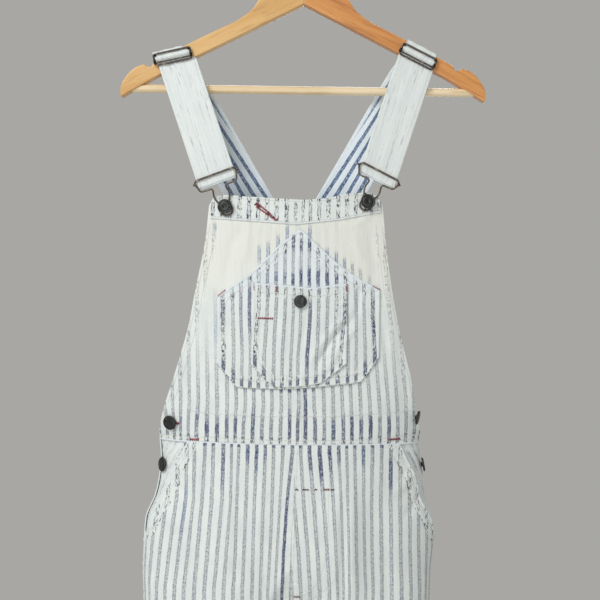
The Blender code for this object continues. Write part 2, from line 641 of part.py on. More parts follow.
def strap_stations(plan):
    """The strap's inner face from the back bib over the arm, round the clip's bar and up again."""
    stations = []
    root_angle = math.radians(plan.root_tilt)
    root_x = PEAK_X + plan.side * (ROOT_HALF * math.cos(root_angle) + HALF_GAP)
    root_z = PEAK_Z - ROOT_HALF * math.sin(root_angle) + GAP
    arm_y = ARM_THICKNESS / 2 + 0.0006
    for t in (0.0, 0.14, 0.30, 0.46, 0.62, 0.77, 0.90):
        stations.append(Station(
            blend(root_x, plan.heel_x, t), blend(ROOT_Y, arm_y, t), blend(root_z, plan.heel_z, t),
            blend(plan.root_tilt, plan.crown_tilt, smooth_step((t - 0.5) / 0.5)),
            blend(ROOT_HALF, STRAP_HALF, t)))
    # (y, fall below the crown) over the arm, then through the slider, where the cloth swells out
    window = plan.crown_z - plan.slider_z
    swell = arm_y + BULGE_DEPTH
    over_arm = [
        (arm_y, 0.0230), (arm_y, 0.0120), (arm_y, 0.0050), (0.0069, 0.0018), (0.0059, 0.0004),
        (0.0043, 0.0), (0.0, -0.0002), (-0.0043, 0.0), (-0.0059, 0.0004), (-0.0069, 0.0018),
        (-arm_y, window - 0.0048), (-swell * 0.93, window - 0.0033), (-swell, window - 0.0017),
        (-swell * 0.93, window - 0.0001), (-arm_y, window + 0.0014), (-arm_y, window + 0.0050),
        (-arm_y, window + BELOW_SLIDER),
    ]
    run_slope = (plan.clip_x - plan.run_x) / (plan.crown_z - plan.clip_z)
    heel_fall = plan.crown_z - plan.heel_z
    lean = plan.side * math.tan(math.radians(plan.slider_tilt))
    for y, fall in over_arm:
        if y > 0:
            x = blend(plan.crown_x, plan.heel_x, fall / heel_fall)
            half = blend(plan.crown_half, STRAP_HALF, smooth_step(fall / heel_fall))
        else:
            in_slider = plan.slider_x - lean * (fall - window)
            gather = smooth_step(fall / (window - 0.0033))
            past = smooth_step((fall - window) / BELOW_SLIDER)
            run = plan.run_x + run_slope * fall
            x = blend(blend(plan.crown_x, in_slider, gather), run, past)
            half = blend(blend(plan.crown_half, SLIDER_HALF, gather), STRAP_HALF, past ** 4)
        stations.append(Station(x, y, plan.crown_z - fall, plan.crown_tilt, half))

    clip = Vector((plan.clip_x, 0.0, plan.clip_z))
    bar = clip + down(plan.side, plan.clip_tilt) * CLIP_DROP
    fold = CLIP_WIRE + GAP + 0.00015
    start = stations[-1]
    front = Station(bar.x, CLIP_BAR_Y - fold, bar.z, plan.clip_tilt, STRAP_HALF)
    for t in (0.12, 0.26, 0.42, 0.58, 0.74, 0.88, 1.0):
        stations.append(Station(*[blend(a, b, t) for a, b in zip(start, front)]))
    for degrees in (30, 60, 90, 120, 150, 180):
        turn = math.radians(degrees)
        centre = bar + down(plan.side, plan.clip_tilt) * fold * math.sin(turn)
        stations.append(Station(
            centre.x, CLIP_BAR_Y - fold * math.cos(turn), centre.z, plan.clip_tilt, STRAP_HALF))
    for t, apart in ((0.93, 0.0012), (0.86, STRAP_LAYER_GAP), (0.74, STRAP_LAYER_GAP),
                     (0.58, STRAP_LAYER_GAP), (0.42, STRAP_LAYER_GAP), (0.26, STRAP_LAYER_GAP),
                     (0.12, STRAP_LAYER_GAP)):
        layer = Station(*[blend(a, b, t) for a, b in zip(start, front)])
        stations.append(layer._replace(y=layer.y + apart))
    return stations


def make_strap(plan, collection):
    stations = strap_stations(plan)
    count = len(stations) - 1

    def surface(u, v):
        points = []
        for width_share, station_share in zip(u, v):
            station = stations[int(round(station_share * count))]
            centre = Vector((station.x, station.y, station.z))
            side_step = (2 * width_share - 1) * station.half
            points.append(centre + across(plan.side, station.tilt) * side_step)
        return points

    item = cloth("strap_" + plan.name, surface, even_steps(2), even_steps(count), STRAP_WALL,
                 collection, DENIM)
    # the grid is the strap's inner face, so the wall grows away from the arm
    item.modifiers["wall"].offset = 1.0 if plan.side > 0 else -1.0


# ------------------------------------------------------------------ hard pieces
def wire(name, points, radius, collection, finish, closed=False):
    curve = bpy.data.curves.new(name, "CURVE")
    curve.dimensions = "3D"
    curve.bevel_depth = radius
    curve.bevel_resolution = 2
    curve.use_fill_caps = True
    spline = curve.splines.new("POLY")
    spline.points.add(len(points) - 1)
    for spot, point in zip(spline.points, points):
        spot.co = (*point, 1.0)
    spline.use_cyclic_u = closed
    return place(bpy.data.objects.new(name, curve), collection, finish)


def rounded_loop(half_width, top, bottom, corner, steps=3):
    """Corners of a rounded rectangle as (across, up), anticlockwise from the right."""
    points = []
    middles = [
        (half_width - corner, top - corner, 0), (-half_width + corner, top - corner, 90),
        (-half_width + corner, bottom + corner, 180), (half_width - corner, bottom + corner, 270),
    ]
    for x, z, first in middles:
        for step in range(steps + 1):
            angle = math.radians(first + 90 * step / steps)
            points.append((x + corner * math.cos(angle), z + corner * math.sin(angle)))
    return points


def make_slider(plan, collection):
    """A wire frame with a middle bar, lying on the front of the strap over the arm."""
    y = -(ARM_THICKNESS / 2 + 0.0006 + STRAP_WALL + GAP + SLIDER_WIRE)
    centre = Vector((plan.slider_x, y, plan.slider_z))
    sideways = across(plan.side, plan.slider_tilt)
    upwards = -down(plan.side, plan.slider_tilt)
    outline = rounded_loop(SLIDER_WIDTH / 2, SLIDER_HEIGHT / 2, -SLIDER_HEIGHT / 2, 0.0022)
    wire("slider_frame_" + plan.name, [centre + sideways * a + upwards * b for a, b in outline],
         SLIDER_WIRE, collection, BRONZE, closed=True)
    half = SLIDER_WIDTH / 2 - SLIDER_WIRE - GAP
    middle = centre - upwards * (SLIDER_HEIGHT / 2 - SLIDER_BAR_RISE)
    wire("slider_bar_" + plan.name, [middle + sideways * a for a in (-half, 0.0, half)],
         SLIDER_WIRE * 0.85, collection, BRONZE)


def make_clip(plan, button, collection):
    """The strap hangs on the clip's bar; the hook below it drops over the bib button."""
    clip = Vector((plan.clip_x, 0.0, plan.clip_z))
    sideways = across(plan.side, plan.clip_tilt)
    upwards = -down(plan.side, plan.clip_tilt)
    front_y = CLIP_BAR_Y - CLIP_FRONT
    # one end of the frame as (across, up, y), from the front wire round to the bar
    end = [
        (CLIP_FRONT_HALF, 0.0, front_y), (CLIP_HALF - 0.0013, -0.0006, front_y + 0.0003),
        (CLIP_HALF, -0.0022, front_y + 0.0010), (CLIP_HALF, -CLIP_DROP + 0.0012, CLIP_BAR_Y - 0.0006),
        (CLIP_HALF - 0.001, -CLIP_DROP, CLIP_BAR_Y),
    ]
    other_end = [(-a, b, y) for a, b, y in end[::-1]]
    loop = end + [(0.0, -CLIP_DROP, CLIP_BAR_Y)] + other_end + [(0.0, 0.0, front_y)]
    wire("clip_frame_" + plan.name,
         [clip + sideways * a + upwards * b + Vector((0.0, y, 0.0)) for a, b, y in loop],
         CLIP_WIRE, collection, BRONZE, closed=True)

    # the hook, as (half width, height above the button); its other half is a mirror image
    seat = Vector((button.x, 0.0, button.z))
    lean = math.degrees(math.atan2(abs(clip.x - seat.x), clip.z - seat.z))
    hook_across = across(plan.side, lean)
    hook_up = -down(plan.side, lean)
    start = clip - upwards * (CLIP_DROP * 0.5) - sideways * CLIP_HALF
    offset = start - seat
    half_profile = [
        (-offset.dot(hook_across), offset.dot(hook_up)), (0.0217, 0.0246), (0.0196, 0.0236),
        (0.0092, 0.0234), (0.0076, 0.0220), (0.0084, 0.0162), (0.0073, 0.0112),
        (0.0048, 0.0068), (0.0044, 0.0), (0.0044, -0.0050), (0.0032, -0.0088),
    ]
    turned = [(-a, b) for a, b in half_profile]
    profile = turned + [(0.0, -0.0103)] + half_profile[::-1]
    eye_y = CLIP_BAR_Y - 0.0050
    points = []
    for a, b in profile:
        point = seat + hook_across * a + hook_up * b
        band = on_bib(np.array([point.x]), np.array([point.z]), PATCH_GAP + PATCH_WALL)[0]
        near_y = band[1] - HOOK_REST - HOOK_LOOP_WIRE
        point.y = blend(near_y, eye_y, float(smooth_step((b - HOOK_NECK) / HOOK_REACH)))
        points.append(point)
    wire("clip_hook_" + plan.name, points, HOOK_LOOP_WIRE, collection, BRONZE)


def make_button(name, base, outward, radius, stem, collection):
    """A domed metal button on a short shank, turned about the direction it faces."""
    head = 0.0024
    profile = [
        (0.0, stem + head), (radius * 0.62, stem + head), (radius * 0.72, stem + head * 0.72),
        (radius * 0.88, stem + head * 0.9), (radius, stem + head * 0.55), (radius * 0.93, stem),
        (SHANK_RADIUS, stem), (SHANK_RADIUS, 0.0), (0.0, 0.0),
    ]
    mesh = bpy.data.meshes.new(name)
    mesh.from_pydata([(x, 0.0, z) for x, z in profile], [(i, i + 1) for i in range(len(profile) - 1)], [])
    item = place(bpy.data.objects.new(name, mesh), collection, GUNMETAL)
    item.location = base
    item.rotation_euler = Vector(outward).to_track_quat("Z", "Y").to_euler()
    screw = item.modifiers.new("turn", "SCREW")
    screw.steps = 16
    screw.render_steps = 16
    screw.use_merge_vertices = True
    screw.merge_threshold = 0.00001
    return item


def surface_frame(point_at, a, b, step=0.0005):
    """A point of a surface and its outward direction, from points a small step away."""
    here = Vector(point_at(a, b))
    along_a = Vector(point_at(a + step, b)) - here
    along_b = Vector(point_at(a, b + step)) - here
    normal = along_a.cross(along_b).normalized()
    if normal.y > 0:
        normal = -normal
    return here, normal


def make_buttons(collection):
    patch = PATCH_GAP + PATCH_WALL
    for spot in BIB_BUTTONS:
        def point_at(x, z, lift=spot.lift * patch):
            return on_bib(np.array([x]), np.array([z]), lift)[0]
        base, normal = surface_frame(point_at, spot.x, spot.z)
        stem = 0.0040 if spot.name.startswith("bib") else 0.0019
        twist = math.radians(spot.twist)
        clear = GAP + SHANK_RADIUS * math.sin(twist)
        outward = Matrix.Rotation(twist, 3, "Z") @ normal
        make_button(spot.name, base + normal * clear, outward, spot.radius, stem, collection)
    for spot in SIDE_BUTTONS:
        def point_at(turn, z, side=spot.side):
            lift = -(WALL + FACING_GAP)
            return trousers(side, FRONT, np.zeros(1), np.array([z]), np.array([turn]), lift)[0]
        base, normal = surface_frame(point_at, math.radians(spot.turn), spot.z)
        make_button(spot.name, base + normal * GAP, normal, BUTTON_RADIUS, 0.0014, collection)


def as_mesh(item, collection):
    """The same object with a mesh of its own, so that it can take a Boolean."""
    bpy.context.view_layer.update()
    evaluated = item.evaluated_get(bpy.context.evaluated_depsgraph_get())
    mesh = bpy.data.meshes.new_from_object(evaluated)
    builder = bmesh.new()
    builder.from_mesh(mesh)
    bmesh.ops.remove_doubles(builder, verts=builder.verts, dist=0.00001)
    builder.to_mesh(mesh)
    builder.free()
    solid = bpy.data.objects.new(item.name + "_solid", mesh)
    solid.matrix_world = item.matrix_world.copy()
    collection.objects.link(solid)
    name = item.name
    bpy.data.objects.remove(item, do_unlink=True)
    solid.name = name
    return solid


def make_hanger(collection, cutters):
    """Two flat arms that meet in a mitre, a dowel between their tips, and a wire hook."""
    bpy.ops.mesh.primitive_cylinder_add(
        vertices=20, radius=BAR_RADIUS + GAP, depth=2 * (BAR_HALF_LENGTH + GAP),
        location=(0.0, 0.0, BAR_Z), rotation=(0.0, math.pi / 2, 0.0))
    bore = bpy.context.object
    bore.name = "bar_bore"
    bore.hide_render = True
    bore.display_type = "WIRE"
    for owner in list(bore.users_collection):
        owner.objects.unlink(bore)
    cutters.objects.link(bore)

    for side, name, finish in ((-1, "hanger_arm_left", HONEY_WOOD), (1, "hanger_arm_right", RED_WOOD)):
        curve = bpy.data.curves.new(name, "CURVE")
        curve.dimensions = "2D"
        curve.fill_mode = "BOTH"
        curve.extrude = ARM_THICKNESS / 2 - ARM_ROUNDING
        curve.bevel_depth = ARM_ROUNDING
        curve.bevel_resolution = 1
        curve.offset = -ARM_ROUNDING
        spline = curve.splines.new("POLY")
        spline.points.add(len(ARM_OUTLINE) - 1)
        for spot, point in zip(spline.points, ARM_OUTLINE):
            spot.co = (side * point.x, point.z, 0.0, 1.0)
        spline.use_cyclic_u = True
        item = place(bpy.data.objects.new(name, curve), collection, finish)
        item.rotation_euler = (math.pi / 2, 0.0, 0.0)
        solid = as_mesh(item, collection)
        cut = solid.modifiers.new("bore", "BOOLEAN")
        cut.operation = "DIFFERENCE"
        cut.object = bore

    bpy.ops.mesh.primitive_cylinder_add(
        vertices=16, radius=BAR_RADIUS, depth=2 * BAR_HALF_LENGTH,
        location=(0.0, 0.0, BAR_Z), rotation=(0.0, math.pi / 2, 0.0))
    bar = bpy.context.object
    bar.name = "hanger_bar"
    bar.data.shade_smooth()
    for owner in list(bar.users_collection):
        owner.objects.unlink(bar)
    place(bar, collection, PALE_WOOD)

    crown_centre_z = HOOK_WIRE - HOOK_RADIUS
    points = [(0.0, 0.0, NECK_TOP_Z + GAP), (0.0, 0.0, NECK_TOP_Z + 0.010),
              (0.0, 0.0, NECK_TOP_Z + 0.019), (0.0012, 0.0, NECK_TOP_Z + 0.024),
              (0.0052, 0.0, NECK_TOP_Z + 0.029), (0.0122, 0.0, NECK_TOP_Z + 0.0335),
              (0.0168, 0.0, NECK_TOP_Z + 0.0385)]
    for degrees in range(-30, 201, 15):
        angle = math.radians(degrees)
        points.append((HOOK_RADIUS * math.cos(angle), 0.0,
                       crown_centre_z + HOOK_RADIUS * math.sin(angle)))
    wire("hanger_hook", points, HOOK_WIRE, collection, STEEL)


def main():
    clear_scene()
    garment = new_collection("dungarees")
    cutters = new_collection("cutters")
    make_hanger(garment, cutters)
    make_bib(garment)
    make_top_band(garment)
    make_patch("bib_pocket_large", LARGE_POCKET, 8, 1, garment)
    make_patch("bib_pocket_small", SMALL_POCKET, 6, 2, garment)
    make_back(garment)
    make_legs(garment)
    make_hip_facings(garment)
    for plan, button in zip(STRAPS, BIB_BUTTONS):
        make_strap(plan, garment)
        make_slider(plan, garment)
        make_clip(plan, button, garment)
    make_buttons(garment)


main()
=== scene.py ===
import math
from collections import namedtuple
from functools import partial

import bpy
import numpy as np
from mathutils import Matrix, Vector


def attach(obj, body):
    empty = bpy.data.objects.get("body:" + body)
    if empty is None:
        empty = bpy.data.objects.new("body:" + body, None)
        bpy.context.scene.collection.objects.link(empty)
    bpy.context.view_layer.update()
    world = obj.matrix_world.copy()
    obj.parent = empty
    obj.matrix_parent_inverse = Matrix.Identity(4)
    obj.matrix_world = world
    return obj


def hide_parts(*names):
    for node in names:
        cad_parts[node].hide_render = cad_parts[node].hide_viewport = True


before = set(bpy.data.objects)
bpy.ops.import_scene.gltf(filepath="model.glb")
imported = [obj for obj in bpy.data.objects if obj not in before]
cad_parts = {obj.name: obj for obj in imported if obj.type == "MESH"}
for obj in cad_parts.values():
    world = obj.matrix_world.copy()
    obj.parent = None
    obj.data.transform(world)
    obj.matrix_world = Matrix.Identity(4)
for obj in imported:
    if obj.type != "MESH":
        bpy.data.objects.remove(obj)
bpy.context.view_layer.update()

# ------------------------------------------------------------------ driving sizes
WALL = 0.0015               # denim of the trousers, the bib and the back
STRAP_WALL = 0.0016         # a strap is two layers of denim, pressed flat
PATCH_WALL = 0.0012         # pockets and the bib's top band
GAP = 0.0003                # between pieces at a seam or a seat
HALF_GAP = GAP / 2
PATCH_GAP = 0.0004          # under a patch that lies on a curved panel
FACING_GAP = 0.0010         # between a hip-pocket facing and the panel over it

MIDDLE_Y = -0.004           # depth of the side seams
WAIST_Z = -0.608
BIB_TOP_Z = -0.333          # height at which the widths of the bib's top are read
HEM_Z = -1.608
HEM_STITCH = 0.0235         # height of a hem's stitching above its edge
FORK_TOP_Z = -0.735         # where the centre seam starts to sink between the legs
FORK_LOW_Z = -0.895         # below this each leg is a tube of its own
OUTSEAM_TURN = {-1: math.radians(88), 1: math.radians(98)}
SEAM_TURN = math.radians(0.22)      # half a seam's gap on a tube of cloth

HIP_STITCH = 0.0150         # from a hip pocket's edge to its second row of stitching
FACING_LOW_Z = -0.735
FACING_LAP = math.radians(13)

PEAK_X = -0.0073            # the point of the back bib, between the straps
PEAK_Z = -0.372
STRAP_HALF = 0.0216         # half of a strap's width at the hanger
ROOT_HALF = 0.0252          # half of its width where it is sewn to the back
ROOT_Y = 0.0218
STRAP_LAYER_GAP = 0.0005

ARM_THICKNESS = 0.013
ARM_GAP = 0.0006            # between a hanger arm and the strap over it
BAR_RADIUS = 0.00475
BAR_Z = -0.2048
BAR_HALF_LENGTH = 0.1969
HOOK_RADIUS = 0.021
HOOK_WIRE = 0.0018
NECK_TOP_Z = -0.077

SLIDER_WIRE = 0.0013
SLIDER_WIDTH = 0.0428
SLIDER_HEIGHT = 0.0132
SLIDER_BAR_RISE = 0.0032    # from the frame's lower wire up to its middle bar
SLIDER_HALF = 0.0197        # half of the strap's width where the slider gathers it
BELOW_SLIDER = 0.0075       # at this depth below its middle the strap has its full width again
BULGE_DEPTH = 0.0016        # how far the cloth swells out through the slider
CLIP_WIRE = 0.0011
CLIP_HALF = 0.0241
CLIP_FRONT_HALF = 0.0205
CLIP_FRONT = 0.0040         # from the clip's bar forward to its front wire
CLIP_DROP = 0.0075          # from the clip's front wire to the bar in the strap's fold
CLIP_BAR_Y = -0.0305
HOOK_LOOP_WIRE = 0.0011
HOOK_REST = 0.0006          # between the hook and the bib's top band
HOOK_NECK = 0.0140          # height above the button where the hook leaves the bib
HOOK_REACH = 0.0080         # and the further height by which it stands clear of the strap

BUTTON_RADIUS = 0.0083
POCKET_BUTTON_RADIUS = 0.0072
SHANK_RADIUS = 0.0027

SIDES = ((-1, "left"), (1, "right"))
FRONT = 1
REAR = -1
TENTHS = 10000              # tenths of a millimetre in a metre

# ------------------------------------------------------------------ tables, top row first
def table(columns, rows, units=None):
    """Rows whose values have names; units is how many of the rows' units make a metre."""
    kind = namedtuple("Row", columns)
    return [kind(*(row if units is None else [value / units for value in row])) for row in rows]


BIB = table("z left right turn_left turn_right depth", [
    (-0.320, -0.1022, 0.0885, 42, 42, 0.0295), (-0.345, -0.1045, 0.0925, 42, 42, 0.0310),
    (-0.380, -0.1078, 0.0960, 43, 43, 0.0330), (-0.437, -0.1181, 0.1040, 45, 45, 0.0365),
    (-0.475, -0.1247, 0.1115, 47, 47, 0.0388), (-0.510, -0.1337, 0.1202, 50, 50, 0.0408),
    (-0.540, -0.1425, 0.1280, 53, 53, 0.0425), (-0.567, -0.1510, 0.1313, 57, 58, 0.0440),
    (-0.581, -0.1547, 0.1325, 62, 63, 0.0448), (-0.588, -0.1563, 0.1376, 66, 70, 0.0452),
    (-0.600, -0.1590, 0.1398, 78, 86, 0.0457), (-0.606, -0.1594, 0.1395, 88, 98, 0.0460),
    (-0.608, -0.1594, 0.1395, 88, 98, 0.0460),
])

BIB_TOP = table("x z", [
    (-1040, -3435), (-995, -3336), (-960, -3313), (-834, -3300), (-658, -3318), (-462, -3326),
    (-323, -3336), (-174, -3343), (-30, -3348), (73, -3348), (169, -3338), (312, -3325), (437, -3286),
    (529, -3267), (633, -3261), (726, -3255), (803, -3262), (843, -3287), (884, -3328), (910, -3390),
], TENTHS)
BAND_LOW = table("x z", [
    (-1035, -3560), (-520, -3592), (-54, -3622), (420, -3564), (897, -3465),
], TENTHS)

TRUNK = table("z left right front back", [
    (-6080, -1595, 1410, 460, 460), (-6290, -1578, 1434, 470, 485), (-6500, -1595, 1475, 482, 515),
    (-6700, -1632, 1495, 500, 545), (-7000, -1745, 1588, 530, 585), (-7220, -1760, 1582, 540, 610),
    (-7550, -1770, 1547, 550, 630), (-7950, -1753, 1540, 552, 620), (-9000, -1750, 1545, 550, 600),
], TENTHS)

LEGS = table("z outer_left inner_left inner_right outer_right front back", [
    (-7350, -1765, -67, -60, 1550, 690, 730), (-8150, -1752, -67, -60, 1546, 660, 700),
    (-9000, -1750, -67, -60, 1545, 570, 600), (-10500, -1725, -90, -40, 1535, 480, 510),
    (-12500, -1695, -125, -5, 1520, 410, 430), (-14500, -1680, -160, 30, 1510, 360, 380),
    (-16080, -1680, -180, 50, 1510, 340, 350),
], TENTHS)

BIB_SEAM = table("z x", [
    (-3200, -42), (-3380, -38), (-4490, 5), (-5440, 47), (-6080, 56),
], TENTHS)
FLY_SEAM = table("z x", [
    (-6080, -27), (-6560, -37), (-7310, -57), (-7750, -62), (-9000, -65),
], TENTHS)

# the slanted front edge of each hip pocket, as degrees round the trunk from the front
HIP_POCKET = table("z left right", [
    (-0.608, 50.0, 56.0), (-0.640, 62.5, 65.0), (-0.672, 68.5, 71.5), (-0.705, 74.5, 80.0),
    (-0.726, 88.0, 98.0),
])

BACK = table("z left right turn_left turn_right depth", [
    (-0.397, -0.0509, 0.0363, 25, 25, 0.0285), (-0.420, -0.0530, 0.0385, 27, 27, 0.0300),
    (-0.460, -0.0640, 0.0480, 31, 31, 0.0335), (-0.505, -0.0840, 0.0680, 39, 39, 0.0375),
    (-0.550, -0.1110, 0.0940, 51, 49, 0.0415), (-0.580, -0.1350, 0.1170, 65, 61, 0.0440),
    (-0.600, -0.1530, 0.1340, 83, 75, 0.0456), (-0.606, -0.1588, 0.1393, 90.4, 80.4, 0.0460),
    (-0.608, -0.1588, 0.1393, 90.4, 80.4, 0.0460),
])
BACK_SHOULDER = 0.0436      # from the peak to each shoulder, across
BACK_SLOPE = 0.578          # fall of the back's top edge on each side of its peak

# soft folds: a ridge (+) or trough (-) from one point down to another
FOLDS = table("face top_x top_z low_x low_z spread height", [
    (FRONT, -0.078, -0.630, -0.070, -0.760, 0.017, 0.0040),
    (FRONT, -0.108, -0.660, -0.112, -0.860, 0.018, -0.0035),
    (FRONT, 0.048, -0.625, 0.052, -0.830, 0.018, 0.0042),
    (FRONT, 0.088, -0.650, 0.094, -0.900, 0.019, -0.0035),
    (FRONT, -0.052, -0.800, -0.060, -1.700, 0.024, 0.0050),
    (FRONT, -0.128, -0.860, -0.120, -1.700, 0.022, -0.0050),
    (FRONT, 0.062, -0.900, 0.052, -1.700, 0.022, -0.0050),
    (FRONT, 0.112, -0.780, 0.104, -1.700, 0.024, 0.0050),
    (REAR, -0.075, -0.640, -0.060, -0.880, 0.022, -0.0050),
    (REAR, 0.058, -0.650, 0.070, -0.900, 0.022, -0.0050),
    (REAR, -0.095, -0.820, -0.090, -1.700, 0.024, 0.0055),
    (REAR, 0.085, -0.840, 0.080, -1.700, 0.024, 0.0055),
])
FOLD_FADE = 0.25            # share of a fold's length over which each end dies away

LARGE_POCKET = table("x top bottom", [
    (-917, -4439, -5197), (-800, -4352, -5330), (-690, -4277, -5450), (-543, -4172, -5458),
    (-380, -4010, -5460), (-234, -3854, -5461), (-110, -3757, -5458), (-18, -3680, -5453),
    (45, -3712, -5447), (173, -3833, -5438), (300, -3955, -5424), (426, -4065, -5409), (560, -4160, -5394),
    (686, -4240, -5373), (800, -4295, -5235), (893, -4344, -5103),
], TENTHS)
SMALL_POCKET = table("x top bottom", [
    (-530, -4286, -5197), (-410, -4292, -5322), (-288, -4300, -5440), (-121, -4312, -5440),
    (91, -4334, -5425), (247, -4318, -5389), (380, -4298, -5290), (525, -4278, -5175),
], TENTHS)

ARM_OUTLINE = table("x z", [
    (1.5, -1061), (1644, -1890), (2030, -2120), (2072, -2150), (2099, -2145), (2106, -2110), (2090, -2010),
    (2040, -1925), (1980, -1855), (1915, -1808), (1828, -1780), (1792, -1808), (1748, -1806), (1716, -1745),
    (1317, -1533), (1010, -1380), (790, -1272), (665, -1188), (584, -1115), (510, -999), (400, -885),
    (260, -805), (120, -773), (1.5, -770),
], TENTHS)

# crown: middle of the strap's inner face over the arm; run: where the line of its straight run
# meets that height; heel: where it leaves the arm's back
STRAPS = table("name side crown_x crown_z crown_tilt crown_half run_x heel_x heel_z root_tilt "
               "clip_x clip_z clip_tilt slider_x slider_z slider_tilt", [
    ("left", -1, -0.1567, -0.1617, 14.2, 0.0168, -0.1494, -0.1467, -0.1800, 30.0,
     -0.0979, -0.3070, 21.0, -0.1501, -0.1696, 13.0),
    ("right", 1, 0.1359, -0.1546, 27.0, 0.0180, 0.1350, 0.1302, -0.1720, 30.0,
     0.0885, -0.3016, 26.5, 0.1314, -0.1660, 26.3),
])

# twist: degrees by which a loose button leans outwards, away from the cloth
BIB_BUTTONS = table("name x z radius lift twist", [
    ("bib_button_left", -0.0849, -0.3436, BUTTON_RADIUS, 1, 0),
    ("bib_button_right", 0.0737, -0.3357, BUTTON_RADIUS, 1, 0),
    ("pocket_button", 0.0005, -0.4488, POCKET_BUTTON_RADIUS, 2, 0),
    ("side_button_left_upper", -0.1435, -0.5866, BUTTON_RADIUS, 0, 0),
    ("side_button_right_upper", 0.1310, -0.5768, BUTTON_RADIUS, 0, 48),
])
SIDE_BUTTONS = table("name side turn z", [
    ("side_button_left_lower", -1, 78.0, -0.6370), ("side_button_right_lower", 1, 88.0, -0.6344),
])


# ------------------------------------------------------------------ curves through the tables
def smooth_curve(knots, values, at):
    """Monotone cubic through rising knots, flat beyond both ends."""
    knots, values = np.asarray(knots, dtype=float), np.asarray(values, dtype=float)
    step = np.diff(knots)
    slope = np.diff(values) / step
    tangent = np.empty_like(values)
    tangent[0], tangent[-1] = slope[0], slope[-1]
    before = slope[:-1]
    after = slope[1:]
    rising = before * after > 0
    weight_a = 2 * step[1:] + step[:-1]
    weight_b = step[1:] + 2 * step[:-1]
    safe_before = np.where(rising, before, 1.0)
    safe_after = np.where(rising, after, 1.0)
    blended = (weight_a + weight_b) / (weight_a / safe_before + weight_b / safe_after)
    tangent[1:-1] = np.where(rising, blended, 0.0)
    at = np.clip(at, knots[0], knots[-1])
    left = np.clip(np.searchsorted(knots, at, side="right") - 1, 0, len(step) - 1)
    t = (at - knots[left]) / step[left]
    t2 = t * t
    t3 = t2 * t
    return (
        (2 * t3 - 3 * t2 + 1) * values[left]
        + (t3 - 2 * t2 + t) * step[left] * tangent[left]
        + (3 * t2 - 2 * t3) * values[left + 1]
        + (t3 - t2) * step[left] * tangent[left + 1]
    )


def read(rows, column, z):
    """One column of a table whose rows run downwards, at height z."""
    rising = rows[::-1]
    return smooth_curve([row.z for row in rising], [getattr(row, column) for row in rising], z)


def read_outline(rows, column, x):
    """One column of an outline table, straight between its points."""
    return np.interp(x, [row.x for row in rows], [getattr(row, column) for row in rows])


def smooth_step(value):
    value = np.clip(value, 0.0, 1.0)
    return value * value * (3 - 2 * value)


def between(value, low, high, soft):
    """1 between low and high, falling softly to 0 at each end."""
    return smooth_step((value - low) / soft) * smooth_step((high - value) / soft)


def hump(value, middle, width):
    """1 at the middle, dying away on both sides."""
    return np.exp(-(((value - middle) / width) ** 2))


def faded(share, *values):
    """The values where the share is 0, and nothing where it is 1."""
    return [value * (1 - share) for value in values]


def fold_height(x, z, facing):
    """How far the folds push the cloth out at (x, z); facing is 1 at the front, -1 at the back."""
    total = np.zeros(np.broadcast(x, z).shape)
    for fold in FOLDS:
        down = (fold.top_z - z) / (fold.top_z - fold.low_z)
        middle = fold.top_x + (fold.low_x - fold.top_x) * np.clip(down, 0, 1)
        ends = smooth_step(down / FOLD_FADE) * smooth_step((1 - down) / FOLD_FADE)
        across = hump(x, middle, fold.spread)
        total = total + fold.height * ends * across * np.clip(facing * fold.face, 0, 1)
    return total


# ------------------------------------------------------------------ surfaces of the garment
def ring(centre, half, depth, angle):
    """A point of an oval section and the outward direction there."""
    x = centre + half * np.sin(angle)
    y = MIDDLE_Y - depth * np.cos(angle)
    normal_x = np.sin(angle) / half
    normal_y = -np.cos(angle) / depth
    length = np.hypot(normal_x, normal_y)
    return x, y, normal_x / length, normal_y / length


def pushed(x, y, z, normal_x, normal_y, distance):
    return np.stack([x + normal_x * distance, y + normal_y * distance, z + 0 * x], axis=-1)


def bib_section(z, side):
    """Middle and half width of the oval that one half of the bib follows at height z."""
    left = read(BIB, "left", z)
    right = read(BIB, "right", z)
    turn = read(BIB, "turn_left" if side < 0 else "turn_right", z)
    return (left + right) / 2, (right - left) / 2 / np.sin(np.radians(np.minimum(turn, 90)))


def bib_angle(x, z, side):
    centre, half = bib_section(z, side)
    return np.arcsin(np.clip((x - centre) / half, -1, 1))


def bib_at_angle(z, angle, side, lift=0.0):
    centre, half = bib_section(z, side)
    x, y, normal_x, normal_y = ring(centre, half, read(BIB, "depth", z), angle)
    push = relief(x, z, np.cos(angle)) + lift
    return pushed(x, y, z, normal_x, normal_y, push)


def bib_half(side, t, z_low_share):
    """Half of the bib: t runs from its outer edge to the centre seam, the share from waist to top."""
    edge_x = read(BIB, "left" if side < 0 else "right", np.full_like(t, BIB_TOP_Z))
    seam_x = read(BIB_SEAM, "x", np.full_like(t, BIB_TOP_Z)) + side * HALF_GAP
    top_z = read_outline(BIB_TOP, "z", edge_x + (seam_x - edge_x) * t)
    low_z = WAIST_Z + HALF_GAP
    z = low_z + (top_z - low_z) * z_low_share
    turn = np.radians(read(BIB, "turn_left" if side < 0 else "turn_right", z))
    seam = bib_angle(read(BIB_SEAM, "x", z) + side * HALF_GAP, z, side)
    angle = side * turn * (1 - t) + seam * t
    return bib_at_angle(z, angle, side)


def on_bib(x, z, lift):
    """A point that lies on the bib at (x, z), lifted off it."""
    left = bib_at_angle(z, bib_angle(x, z, -1), -1, lift)
    right = bib_at_angle(z, bib_angle(x, z, 1), 1, lift)
    return np.where((x < read(BIB_SEAM, "x", z))[..., None], left, right)


